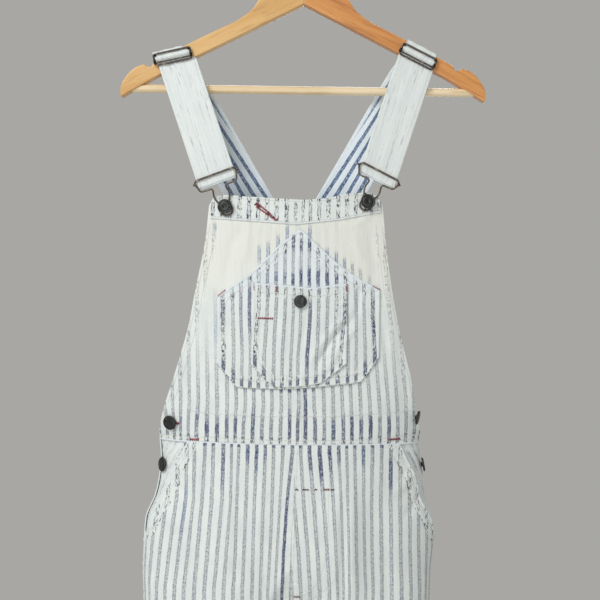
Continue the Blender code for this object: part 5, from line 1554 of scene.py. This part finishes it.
def make_straps():
    for plan in STRAPS:
        points, run, widths, half = strap_grid(plan)
        normal = grid_normals(points)
        # where the strap lies on the front of the arm, outwards is towards the viewer
        front_row = int(np.argmin(np.abs(points[:, 12, 2] - (plan.crown_z - 0.020))
                                  + 10 * (points[:, 12, 1] > -0.004)))
        if normal[front_row, 12, 1] > 0:
            normal = -normal
        # soft lengthwise creases of the pressed, doubled cloth, and gathers beside its edge stitching
        side = np.abs(widths)[None, :]
        crease = 0.00022 * np.cos(widths[None, :] * 7.5 + 0.8 * np.sin(run[:, None] * 31.0))
        gather = 0.00022 * hump(side, 0.88, 0.10) * ripple(run[:, None], plan.side + 2.0)
        groove = -0.00028 * hump(side, 0.86, 0.035)
        outer = points + normal * (STRAP_WALL + crease + gather + groove)[..., None]
        # the weave lies a little off the straight, so that its stripes run out over the edges
        number = widths[None, :] * half[:, None] / PITCH + 0.5
        number = number + 7.0 * (run[:, None] - 0.09) * (0.35 + widths[None, :])
        # a little dye is left in soft waves, and more along the stitched edges
        faint = 0.06 + 0.06 * np.sin(run[:, None] * 17.0 + widths[None, :] * 3.0)
        seam = 0.45 * hump(side, 0.90, 0.07) + 0 * run[:, None]
        traits = {"dye": faint * 0.5, "navy": 0.2, "seam": seam * 0.5, "cream": 0.12, "vein": 0.55,
                  "fresh_white_and_highlight": 0.15}
        edge = smooth_step((side - 0.80) / 0.05) + 0 * run[:, None]
        folded = (points[:, :, 1] < 0.0) * smooth_step((plan.clip_z + 0.006 - points[:, :, 2]) / 0.004)
        inner = {"dye": 1.9 * (1 - edge) * (1 - folded), "navy": 0.10, "teal": 1.0, "seam": 0.10 * edge,
                 "fresh_white_and_highlight": 1.0}
        item = strap_piece(plan, outer, points, number, run, traits, inner)
        finish_piece(item, "strap_" + plan.name, "striped_denim", DENIM)


def strap_piece(plan, outer, inner, number, run, traits, inner_traits):
    """The strap as a closed sheet between its outer and inner faces."""
    toward = outer - inner
    toward = toward / np.linalg.norm(toward, axis=2, keepdims=True)
    rows, columns = outer.shape[:2]
    length = np.broadcast_to(run[:, None], (rows, columns))
    row = rows // 2
    return cloth_sheet("cloth_strap_" + plan.name, outer, STRAP_WALL, number, length, traits,
                       inner_traits, outward=(row, columns // 2, toward[row, columns // 2]))


# ------------------------------------------------------------------ stitching
def on_leg(side, x, z, lift):
    """Points on a front trouser panel at (x, z)."""
    x = np.atleast_1d(x).astype(float)
    z = np.atleast_1d(z).astype(float)
    shares = np.linspace(0, 1, 90)
    t_all, z_all = np.broadcast_arrays(shares[None, :], z[:, None])
    outer = np.minimum(np.full_like(z_all, OUTSEAM_TURN[side] - SEAM_TURN), pocket_turn(side, z_all))
    lines = trousers(side, FRONT, t_all, z_all, outer)[..., 0]
    t = np.array([np.interp(at, *((line, shares) if line[-1] > line[0] else (line[::-1], shares[::-1])))
                  for at, line in zip(x, lines)])
    return trousers(side, FRONT, t, z, outer[:, 0], lift)


def resample(line, pitch):
    """Points about a pitch apart along a polyline."""
    line = np.array(line, dtype=float)
    run = np.concatenate([[0.0], np.cumsum(np.hypot(*np.diff(line, axis=0).T))])
    at = np.linspace(0, run[-1], max(int(run[-1] / pitch), 1) + 1)
    return np.stack([np.interp(at, run, line[:, i]) for i in range(2)], axis=1)


STITCH_SHARE = 0.74         # how much of its pitch a stitch fills
STITCH_RADIUS = 0.00030
STITCH_WANDER = 0.00018


def add_stitches(joined, line, place, pitch=0.0034):
    """Short threads one after another along a line; place(a, b) gives points on the cloth."""
    marks = resample(line, pitch)
    start = marks[:-1]
    end = start + (marks[1:] - start) * STITCH_SHARE
    step = end - start
    aside = np.stack([-step[:, 1], step[:, 0]], axis=1)
    aside = aside / np.maximum(np.linalg.norm(aside, axis=1, keepdims=True), 1e-9)
    aside = aside * (STITCH_WANDER * np.sin(np.arange(len(step)) * 2.39))[:, None]
    spots = [start + aside * 0.5, (start + end) / 2 + aside, end - aside * 0.5]
    radii = [STITCH_RADIUS * 0.8, STITCH_RADIUS, STITCH_RADIUS * 0.8]
    for a, b, c in zip(*[place(spot[:, 0], spot[:, 1]) for spot in spots]):
        if np.linalg.norm(np.array(c) - np.array(a)) > 0.0004:
            joined.add(*tube_mesh([a, b, c], radii, 6))


def add_tack(joined, start, end, place, width, pitch=0.00065, radius=0.00056):
    """A bar tack: one thread zigzagging closely over a line."""
    start = np.array(start)
    end = np.array(end)
    length = np.hypot(*(end - start))
    direction = (end - start) / length
    sideways = np.array([-direction[1], direction[0]])
    count = max(int(length / pitch), 3)
    path = []
    for i in range(count + 1):
        swing = 0.7 * width * (1 if i % 2 else -1) * (0.75 + 0.25 * math.sin(i * 1.9))
        path.append(start + direction * (length * i / count) + sideways * swing)
    path = np.array(path)
    joined.add(*tube_mesh(place(path[:, 0], path[:, 1]), radius, 6))


# bar tacks: layers of patch below, (x, z) of both ends, width, and pitch and radius where they differ
RED_TACKS = [
    (1, (-0.0490, -0.3395), (-0.0350, -0.3508), 0.0013, 0.0007, 0.00060),
    (1, (-0.0500, -0.3432), (-0.0365, -0.3524), 0.0011, 0.0007, 0.00060),
    (1, (-0.0380, -0.3496), (-0.0306, -0.3560), 0.0030, 0.0007, 0.00062),
    (1, (-0.0320, -0.3548), (-0.0278, -0.3584), 0.0016, 0.0007, 0.00060),
    (1, (-0.0512, -0.3394), (-0.0462, -0.3434), 0.0036, 0.0007, 0.00062),
    (1, (-0.0915, -0.4438), (-0.0838, -0.4375), 0.0014), (1, (0.0812, -0.4305), (0.0890, -0.4343), 0.0014),
    (2, (-0.0514, -0.4290), (-0.0514, -0.4362), 0.0012), (2, (-0.0259, -0.4303), (-0.0257, -0.4380), 0.0018),
    (2, (0.0513, -0.4286), (0.0519, -0.4370), 0.0014), (2, (-0.0464, -0.4677), (-0.0297, -0.4680), 0.0016),
    (0, (-0.1210, -0.6050), (-0.1110, -0.6046), 0.0022), (0, (0.1016, -0.6022), (0.1149, -0.6016), 0.0017),
    (0, (-0.1400, -0.5868), (-0.1342, -0.5882), 0.0034),
]
BROWN_TACKS = [
    ((-0.0020, -0.6563), (0.0008, -0.6563), 0.0012), ((0.0060, -0.6563), (0.0125, -0.6563), 0.0010),
    ((0.0190, -0.6562), (0.0215, -0.6562), 0.0010), ((0.0290, -0.6560), (0.0350, -0.6559), 0.0016),
    ((0.0370, -0.6559), (0.0405, -0.6558), 0.0010), ((-0.0020, -0.7752), (0.0046, -0.7747), 0.0014),
]
THREAD_LIFT = 0.00012       # middle of a stitch above the cloth
TACK_LIFT = 0.0004


def stitch_bib():
    patch = PATCH_GAP + PATCH_WALL
    on_cloth, on_patch, on_small = [partial(on_bib, lift=lift) for lift in (
        THREAD_LIFT, patch + THREAD_LIFT, 2 * patch + THREAD_LIFT)]
    white = Joined()
    for line in [BAND_TOP_LINE, BAND_LOW_LINE] + LARGE_LINES:
        add_stitches(white, line, on_patch)
    for line in SMALL_LINES:
        add_stitches(white, line, on_small)
    for line in (WAIST_LINE, WAIST_LINE_LOW, WAIST_LINE_HIGH, PLACKET_LEFT, PLACKET_RIGHT):
        add_stitches(white, line, on_cloth)
    # the bib's centre seam, stitched beside it below the pocket, and its turned side edges
    add_stitches(white, [(0.0025, -0.548), (BIB_SEAM[-1].x - 0.0022, -0.6050)], on_cloth)
    for word, sign in (("left", 1), ("right", -1)):
        for inset in (0.0030, 0.0095):
            edge = [(float(read(BIB, word, z)) + sign * inset, z) for z in np.linspace(-0.362, -0.565, 14)]
            add_stitches(white, edge, on_cloth)
    finish_piece(white.make("thread_bib"), None, "striped_denim", THREAD_WHITE)


def stitch_trousers():
    legs = Joined()
    on_right = partial(on_leg, 1, lift=THREAD_LIFT)
    fly_edge = [(float(read(FLY_SEAM, "x", z)) + 0.0022, z) for z in np.linspace(-0.612, -0.780, 9)]
    for line in (FLY_INNER, FLY_OUTER, fly_edge):
        add_stitches(legs, line, on_right)
    for side, _ in SIDES:
        for inset in (0.0020, 0.0085):
            def beside_pocket(a, z, side=side, inset=inset):
                turn = pocket_turn(side, z)
                base = trousers(side, FRONT, 0 * z, z, turn, THREAD_LIFT)
                other = trousers(side, FRONT, 0 * z + 0.2, z, turn, THREAD_LIFT)
                reach = np.linalg.norm(other - base, axis=1)
                return trousers(side, FRONT, 0.2 * (inset + a) / reach, z, turn, THREAD_LIFT)

            add_stitches(legs, [(0.0, -0.6095), (0.0, -0.7220)], beside_pocket)
    # the hems of both legs
    for side, _ in SIDES:
        for face in (FRONT, REAR):
            outer = OUTSEAM_TURN[side] - face * SEAM_TURN

            def on_hem(a, z, side=side, face=face, outer=outer):
                return trousers(side, face, a, z, outer + 0 * z, 0.0001)

            add_stitches(legs, [(0.004, HEM_Z + HEM_STITCH), (0.996, HEM_Z + HEM_STITCH)], on_hem, 0.0135)
    finish_piece(legs.make("thread_trousers"), None, "striped_denim", THREAD_WHITE)


def sew_tacks():
    patch = PATCH_GAP + PATCH_WALL
    lifts = (TACK_LIFT, patch + THREAD_LIFT + 0.0003, 2 * patch + THREAD_LIFT + 0.0003)
    red = Joined()
    for layers, start, end, *sizes in RED_TACKS:
        add_tack(red, start, end, partial(on_bib, lift=lifts[layers]), *sizes)
    finish_piece(red.make("thread_red_tacks"), None, "striped_denim", THREAD_RED)
    brown = Joined()
    for start, end, width in BROWN_TACKS:
        add_tack(brown, start, end, partial(on_leg, 1, lift=TACK_LIFT), width)
    finish_piece(brown.make("thread_brown_tacks"), None, "striped_denim", THREAD_BROWN)


# ------------------------------------------------------------------ metal
BRONZE = metal_material("bronze_wire", linear(92, 85, 78), linear(176, 160, 146), 0.36)
BRASSY = metal_material("hook_wire", linear(108, 101, 90), linear(178, 166, 136), 0.40)
GUNMETAL = metal_material("button_metal", linear(62, 65, 64), linear(104, 104, 98), 0.46)
BLACKENED = metal_material("boss_metal", linear(44, 40, 36), linear(96, 84, 70), 0.40)
NICKEL = metal_material("hook_steel", linear(196, 196, 194), linear(222, 222, 220), 0.26)


def make_slider(plan):
    y = -(ARM_THICKNESS / 2 + ARM_GAP + STRAP_WALL + GAP + SLIDER_WIRE)
    centre = Vector((plan.slider_x, y, plan.slider_z))
    sideways = across(plan.side, plan.slider_tilt)
    upwards = -down(plan.side, plan.slider_tilt)
    outline = rounded_loop(SLIDER_WIDTH / 2, SLIDER_HEIGHT / 2, 0.0024, 7)
    path = [centre + sideways * a + upwards * b for a, b in outline]
    dense = []
    for i, point in enumerate(path):
        following = path[(i + 1) % len(path)]
        steps = 8 if (following - point).length > 0.004 else 1
        dense += [point.lerp(following, k / steps) for k in range(steps)]
    vertices, faces = tube_mesh(dense, SLIDER_WIRE * 0.82, 14, closed=True)
    finish_piece(new_object("slider_wire_" + plan.name, vertices, faces), "slider_frame_" + plan.name,
                 "bronze_wire", BRONZE)

    half = SLIDER_WIDTH / 2 - SLIDER_WIRE - GAP
    middle = centre - upwards * (SLIDER_HEIGHT / 2 - SLIDER_BAR_RISE)
    bar = Joined()
    bar.add(*tube_mesh([middle + sideways * a for a in np.linspace(-half, half, 9)], SLIDER_WIRE * 0.68, 14))
    finish_piece(bar.make("slider_middle_" + plan.name), "slider_bar_" + plan.name, "bronze_wire", BRONZE)
    bosses = Joined()
    for sign in (-1, 1):
        spot = centre + sideways * (sign * (SLIDER_WIDTH / 2 - 0.0002)) - upwards * 0.0022
        bosses.add(*tube_mesh([spot - upwards * 0.0026, spot - upwards * 0.0012, spot + upwards * 0.0012,
                               spot + upwards * 0.0026], [0.0012, 0.0016, 0.0016, 0.0012], 14))
        spot = (centre + sideways * (sign * (SLIDER_WIDTH / 2 - 0.0012))
                + upwards * (SLIDER_HEIGHT / 2 - 0.0016))
        bosses.add(*tube_mesh([spot - sideways * 0.0008, spot + sideways * 0.0008], [0.0013, 0.0013], 14))
    finish_piece(bosses.make("slider_boss_" + plan.name), None, "bronze_wire", BLACKENED)


def make_clip(plan, button):
    clip = Vector((plan.clip_x, 0.0, plan.clip_z))
    sideways = across(plan.side, plan.clip_tilt)
    upwards = -down(plan.side, plan.clip_tilt)
    front_y = CLIP_BAR_Y - CLIP_FRONT
    joined = Joined()
    # the closed wire: over the strap's front, down beside it and back through its fold
    end = [
        (0.0, 0.0, front_y), (CLIP_FRONT_HALF - 0.0030, 0.0, front_y), (CLIP_FRONT_HALF, 0.0, front_y),
        (CLIP_HALF - 0.0014, -0.0007, front_y + 0.0003), (CLIP_HALF, -0.0026, front_y + 0.0010),
        (CLIP_HALF, -CLIP_DROP + 0.0016, CLIP_BAR_Y - 0.0007), (CLIP_HALF - 0.0012, -CLIP_DROP, CLIP_BAR_Y),
        (CLIP_HALF - 0.0040, -CLIP_DROP, CLIP_BAR_Y), (0.0, -CLIP_DROP, CLIP_BAR_Y),
    ]
    loop = end + [(-a, b, y) for a, b, y in end[-2::-1]]
    path = [clip + sideways * a + upwards * b + Vector((0.0, y, 0.0)) for a, b, y in loop]
    joined.add(*tube_mesh(smooth_path(path, 6), CLIP_WIRE, 14))
    # the ends of the frame are turned back into small eyes
    for sign in (-1, 1):
        centre = (clip + sideways * (sign * (CLIP_HALF - 0.0002)) - upwards * 0.0036
                  + Vector((0.0, front_y + 0.0004, 0.0)))
        coil = []
        for k in range(25):
            angle = 2 * math.pi * 1.25 * k / 24
            coil.append(centre + upwards * (0.0013 * math.cos(angle)) + sideways * (sign * k / 24 * 0.0012)
                        + Vector((0.0, 0.0013 * math.sin(angle), 0.0)))
        joined.add(*tube_mesh(coil, 0.00070, 8))
    finish_piece(joined.make("clip_wire_" + plan.name), "clip_frame_" + plan.name, "bronze_wire", BRONZE)

    seat = Vector((button.x, 0.0, button.z))
    lean = math.degrees(math.atan2(abs(clip.x - seat.x), clip.z - seat.z))
    hook_across = across(plan.side, lean)
    hook_up = -down(plan.side, lean)
    start = clip - upwards * (CLIP_DROP * 0.5) - sideways * CLIP_HALF
    offset = start - seat
    half_profile = [
        (-offset.dot(hook_across), offset.dot(hook_up)), (0.0222, 0.0272), (0.0213, 0.0254),
        (0.0196, 0.0243), (0.0144, 0.0240), (0.0096, 0.0238), (0.0078, 0.0226), (0.0078, 0.0204),
        (0.0088, 0.0158), (0.0082, 0.0106), (0.0062, 0.0068), (0.0056, 0.0034), (0.0058, 0.0),
        (0.0066, -0.0040), (0.0054, -0.0076), (0.0030, -0.0094),
    ]
    turned = [(-a, b) for a, b in half_profile]
    profile = turned + [(0.0, -0.0100)] + half_profile[::-1]
    eye_y = CLIP_BAR_Y - 0.0050
    points = []
    for a, b in profile:
        point = seat + hook_across * a + hook_up * b
        band = on_bib(np.array([point.x]), np.array([point.z]), PATCH_GAP + PATCH_WALL)[0]
        near_y = band[1] - HOOK_REST - HOOK_LOOP_WIRE
        point.y = blend(near_y, eye_y, float(smooth_step((b - HOOK_NECK) / HOOK_REACH)))
        points.append(point)
    hook = Joined()
    hook.add(*tube_mesh(smooth_path(points, 5), HOOK_LOOP_WIRE * 0.9, 14))
    knobs = Joined()
    for sign in (-1, 1):
        spot = (clip + sideways * (sign * (CLIP_HALF + 0.0012)) - upwards * 0.0038
                + Vector((0.0, CLIP_BAR_Y - 0.0030, 0.0)))
        knobs.add(*tube_mesh([spot - sideways * 0.0008, spot + sideways * 0.0008], [0.0014, 0.0014], 14))
    finish_piece(knobs.make("clip_knobs_" + plan.name), None, "bronze_wire", BRASSY)
    finish_piece(hook.make("hook_wire_" + plan.name), "clip_hook_" + plan.name, "bronze_wire", BRASSY)


# button heads from the middle outwards: share of the radius, and tenths of a millimetre from the top
DISHED_HEAD = [(0, -9), (0.16, -9), (0.24, -4), (0.32, 0), (0.50, 1), (0.66, -1), (0.73, -7), (0.78, -7),
               (0.84, -2), (0.91, -1), (0.97, -6), (1, -12), (0.985, -18)]
FLAT_HEAD = [(0, -3), (0.40, -2.5), (0.74, -1), (0.80, -4), (0.86, -3), (0.93, -4), (0.985, -9), (1, -14),
             (0.98, -19)]
HEAD_HEIGHT = 0.0024


def add_button(name, base, outward, radius, stem, dished):
    top = stem + HEAD_HEIGHT
    head = DISHED_HEAD if dished else FLAT_HEAD
    profile = [(radius * share, top + rise / TENTHS) for share, rise in head]
    profile += [(radius * (0.93 if dished else 0.92), stem), (SHANK_RADIUS * 1.1, stem),
                (SHANK_RADIUS, stem - 0.0003), (SHANK_RADIUS, 0.0), (0.0, 0.0)]
    joined = Joined()
    joined.add(*revolve(profile, base, outward, 48))
    finish_piece(joined.make("metal_" + name), name, "button_metal", GUNMETAL)


def make_buttons():
    patch = PATCH_GAP + PATCH_WALL
    for spot in BIB_BUTTONS:
        def point_at(x, z, lift=spot.lift * patch):
            return on_bib(np.array([x]), np.array([z]), lift)[0]
        base, normal = surface_frame(point_at, spot.x, spot.z)
        on_the_bib = spot.name.startswith("bib")
        stem = 0.0040 if on_the_bib else 0.0019
        twist = math.radians(spot.twist)
        clear = GAP + SHANK_RADIUS * math.sin(twist)
        outward = Matrix.Rotation(twist, 3, "Z") @ normal
        add_button(spot.name, base + normal * clear, outward, spot.radius, stem, on_the_bib)
    for spot in SIDE_BUTTONS:
        def point_at(turn, z, side=spot.side):
            lift = -(WALL + FACING_GAP)
            return trousers(side, FRONT, np.zeros(1), np.array([z]), np.array([turn]), lift)[0]
        base, normal = surface_frame(point_at, math.radians(spot.turn), spot.z)
        add_button(spot.name, base + normal * GAP, normal, BUTTON_RADIUS, 0.0014, False)


# ------------------------------------------------------------------ wood and the hook
def round_outline(points, steps, keep):
    """A closed outline drawn smoothly through its points; kept corners stay sharp."""
    count = len(points)
    result = []
    for i in range(count):
        p0, p1 = points[i - 1], points[i]
        p2, p3 = points[(i + 1) % count], points[(i + 2) % count]
        if i in keep:
            p0 = p1
        if (i + 1) % count in keep:
            p3 = p2
        for k in range(steps):
            t = k / steps
            x = 0.5 * (2 * p1[0] + (p2[0] - p0[0]) * t + (2 * p0[0] - 5 * p1[0] + 4 * p2[0] - p3[0]) * t * t
                       + (3 * p1[0] - p0[0] - 3 * p2[0] + p3[0]) * t ** 3)
            z = 0.5 * (2 * p1[1] + (p2[1] - p0[1]) * t + (2 * p0[1] - 5 * p1[1] + 4 * p2[1] - p3[1]) * t * t
                       + (3 * p1[1] - p0[1] - 3 * p2[1] + p3[1]) * t ** 3)
            result.append((x, z))
    return result


def board(name, side, low, high, thickness, rounding):
    """A flat board between a lower and an upper edge (lists of (x, z) by rising x), rounded all round."""
    low = np.array(low)
    high = np.array(high)
    even = np.linspace(low[0, 0], low[-1, 0], 190)
    xs = np.unique(np.round(np.concatenate([even, low[:, 0], high[:, 0]]), 5))
    keep = np.concatenate([[True], np.diff(xs) > 0.00025])
    xs = xs[keep]
    bottom = np.interp(xs, low[:, 0], low[:, 1])
    top = np.interp(xs, high[:, 0], high[:, 1])
    lean_low = 1 / np.hypot(1.0, np.gradient(bottom, xs))
    lean_top = 1 / np.hypot(1.0, np.gradient(top, xs))
    edge = np.array([0.0, 0.08, 0.25, 0.55, 1.0])
    inner = np.linspace(0, 1, 11)[1:-1]
    columns = []
    for x, b, t, cb, ct in zip(xs, bottom, top, lean_low, lean_top):
        size = max(t - b, 0.0002)
        r = min(rounding, 0.48 * size * min(cb, ct))
        rise = np.concatenate([b + edge * r / cb, 0 * inner, t - edge[::-1] * r / ct])
        rise[len(edge):-len(edge)] = rise[len(edge) - 1] + inner * (rise[-len(edge)] - rise[len(edge) - 1])
        curve = rounding * (1 - np.sqrt(np.clip(1 - (1 - edge) ** 2, 0, 1)))
        sink = np.concatenate([curve, 0 * inner, curve[::-1]]) * (r / rounding)
        columns.append([(side * x, -(thickness / 2 - s), z) for z, s in zip(rise, sink)])
    columns = np.array(columns)
    count, high_count = columns.shape[:2]
    front = columns.reshape(-1, 3)
    back = front * np.array([1.0, -1.0, 1.0])
    vertices = np.concatenate([front, back])
    offset = len(front)
    faces = []

    def at(i, j, shift=0):
        return i * high_count + j + shift

    for i in range(count - 1):
        for j in range(high_count - 1):
            faces.append((at(i, j), at(i + 1, j), at(i + 1, j + 1), at(i, j + 1)))
            faces.append((at(i, j + 1, offset), at(i + 1, j + 1, offset), at(i + 1, j, offset),
                          at(i, j, offset)))
        last = high_count - 1
        faces.append((at(i + 1, 0), at(i, 0), at(i, 0, offset), at(i + 1, 0, offset)))
        faces.append((at(i, last), at(i + 1, last), at(i + 1, last, offset), at(i, last, offset)))
    for i in (0, count - 1):
        for j in range(high_count - 1):
            face = (at(i, j), at(i, j + 1), at(i, j + 1, offset), at(i, j, offset))
            faces.append(face if i == 0 else face[::-1])
    if side < 0:
        faces = [face[::-1] for face in faces]
    return new_object(name, vertices, faces)


def make_hanger():
    honey = wood_material("wood_left", linear(236, 196, 134), linear(218, 170, 104), linear(176, 122, 66),
                          26.0)
    red = wood_material("wood_right", linear(226, 160, 92), linear(196, 124, 66), linear(150, 86, 42), -26.0)
    pale = wood_material("wood_bar", linear(248, 228, 190), linear(238, 212, 168), linear(208, 174, 126), 0.0,
                         coat=0.8)
    outline = [(point.x, point.z) for point in ARM_OUTLINE]
    smooth = round_outline(outline, 5, keep=(0, 1, 10, 11, 12, 13, len(outline) - 1))[:-4]
    tip = max(range(len(smooth)), key=lambda i: smooth[i][0])
    low = smooth[:tip + 1]
    high = smooth[tip:][::-1]
    for side, name, node, slot, material in (
            (-1, "wood_arm_left", "hanger_arm_left", "wood_left", honey),
            (1, "wood_arm_right", "hanger_arm_right", "wood_right", red)):
        item = board(name, side, low, high, ARM_THICKNESS, 0.0011)
        finish_piece(item, node, slot, material)
    rod = Joined()
    ends = BAR_HALF_LENGTH - 0.001
    rod.add(*tube_mesh([(x, 0.0, BAR_Z) for x in np.linspace(-ends, ends, 40)], BAR_RADIUS, 40))
    finish_piece(rod.make("wood_rod"), "hanger_bar", "wood_bar", pale)

    crown_centre_z = HOOK_WIRE - HOOK_RADIUS
    points = [(0.0, 0.0, NECK_TOP_Z - 0.004), (0.0, 0.0, NECK_TOP_Z + 0.006), (0.0, 0.0, NECK_TOP_Z + 0.014),
              (0.0, 0.0, NECK_TOP_Z + 0.019), (0.0012, 0.0, NECK_TOP_Z + 0.024),
              (0.0052, 0.0, NECK_TOP_Z + 0.029), (0.0122, 0.0, NECK_TOP_Z + 0.0335),
              (0.0168, 0.0, NECK_TOP_Z + 0.0385)]
    for degrees in range(-30, 201, 10):
        angle = math.radians(degrees)
        points.append((HOOK_RADIUS * math.cos(angle), 0.0, crown_centre_z + HOOK_RADIUS * math.sin(angle)))
    hook = Joined()
    hook.add(*tube_mesh(smooth_path(points, 4), HOOK_WIRE, 18))
    collar = [(0.0, -0.0004), (0.0042, -0.0004), (0.0046, 0.0002), (0.0040, 0.0012), (0.0026, 0.0018),
              (0.0, 0.0018)]
    hook.add(*revolve(collar, (0.0, 0.0, NECK_TOP_Z), (0, 0, 1), 36))
    finish_piece(hook.make("steel_hook"), "hanger_hook", "hook_steel", NICKEL)


# ------------------------------------------------------------------ floor, light and camera
FLOOR_Z = -1.64


def add_light(name, place, aim, size, power, colour):
    data = bpy.data.lights.new(name, "AREA")
    data.shape = "RECTANGLE"
    data.size, data.size_y = size
    data.energy = power
    data.color = colour
    lamp = bpy.data.objects.new(name, data)
    lamp.location = place
    lamp.rotation_euler = (Vector(aim) - Vector(place)).to_track_quat("-Z", "Y").to_euler()
    lamp.visible_camera = False
    bpy.context.scene.collection.objects.link(lamp)


def make_stage():
    corners = [(x, y, FLOOR_Z) for x, y in ((-2.4, -2.2), (2.4, -2.2), (2.4, 1.9), (-2.4, 1.9))]
    floor = new_object("floor", corners, [(0, 1, 2, 3)], smooth=False)
    s = Shader("floor")
    cloud = s.noise(s.place(), 3.0, 3.0, 0.5)
    s.set(Base_Color=s.mix(s.ramp(cloud, 0.3, 0.7), linear(206, 204, 200), linear(212, 210, 206)),
          Roughness=0.9)
    floor.data.materials.append(s.material)

    world = bpy.data.worlds.new("studio")
    bpy.context.scene.world = world
    world.use_nodes = True
    background = world.node_tree.nodes["Background"]
    background.inputs["Color"].default_value = linear(168, 167, 164)
    background.inputs["Strength"].default_value = 1.0

    add_light("key", (-1.25, -1.65, 0.95), (0.0, 0.0, -0.50), (1.0, 1.0), 29.5, (1.0, 0.99, 0.98))
    add_light("fill", (-0.5, -2.3, -0.95), (0.0, 0.0, -0.25), (1.4, 1.0), 11.2, (0.98, 0.99, 1.0))
    add_light("back", (0.6, 2.3, 0.8), (0.0, 0.0, -0.6), (2.0, 2.0), 44.0, (1.0, 1.0, 0.99))


FOCAL_SHARE = 994.0 / 600.0         # focal length, in widths of the frame
SENSOR_WIDTH = 36.0


def make_camera():
    data = bpy.data.cameras.new("camera")
    data.sensor_width = SENSOR_WIDTH
    data.lens = FOCAL_SHARE * SENSOR_WIDTH
    camera = bpy.data.objects.new("camera", data)
    camera.matrix_world = (Matrix.Translation((0.0, -1.150, -0.447)) @ Matrix.Rotation(math.pi / 2, 4, "X")
                           @ Matrix.Rotation(math.radians(0.8), 4, "Z"))
    bpy.context.scene.collection.objects.link(camera)
    bpy.context.scene.camera = camera


make_camera()
make_hanger()
make_straps()
for plan, button in zip(STRAPS, BIB_BUTTONS):
    make_slider(plan)
    make_clip(plan, button)
make_buttons()
make_bib()
make_top_band()
make_patch("bib_pocket_large", LARGE_POCKET, 1, 128, 108, LARGE_STRIPES, LARGE_LINES, 0.95)
make_patch("bib_pocket_small", SMALL_POCKET, 2, 88, 78, SMALL_STRIPES, SMALL_LINES, 1.05)
make_back()
make_legs()
make_hip_facings()
stitch_bib()
stitch_trousers()
sew_tacks()
make_stage()
bpy.context.scene.view_settings.view_transform = "Standard"
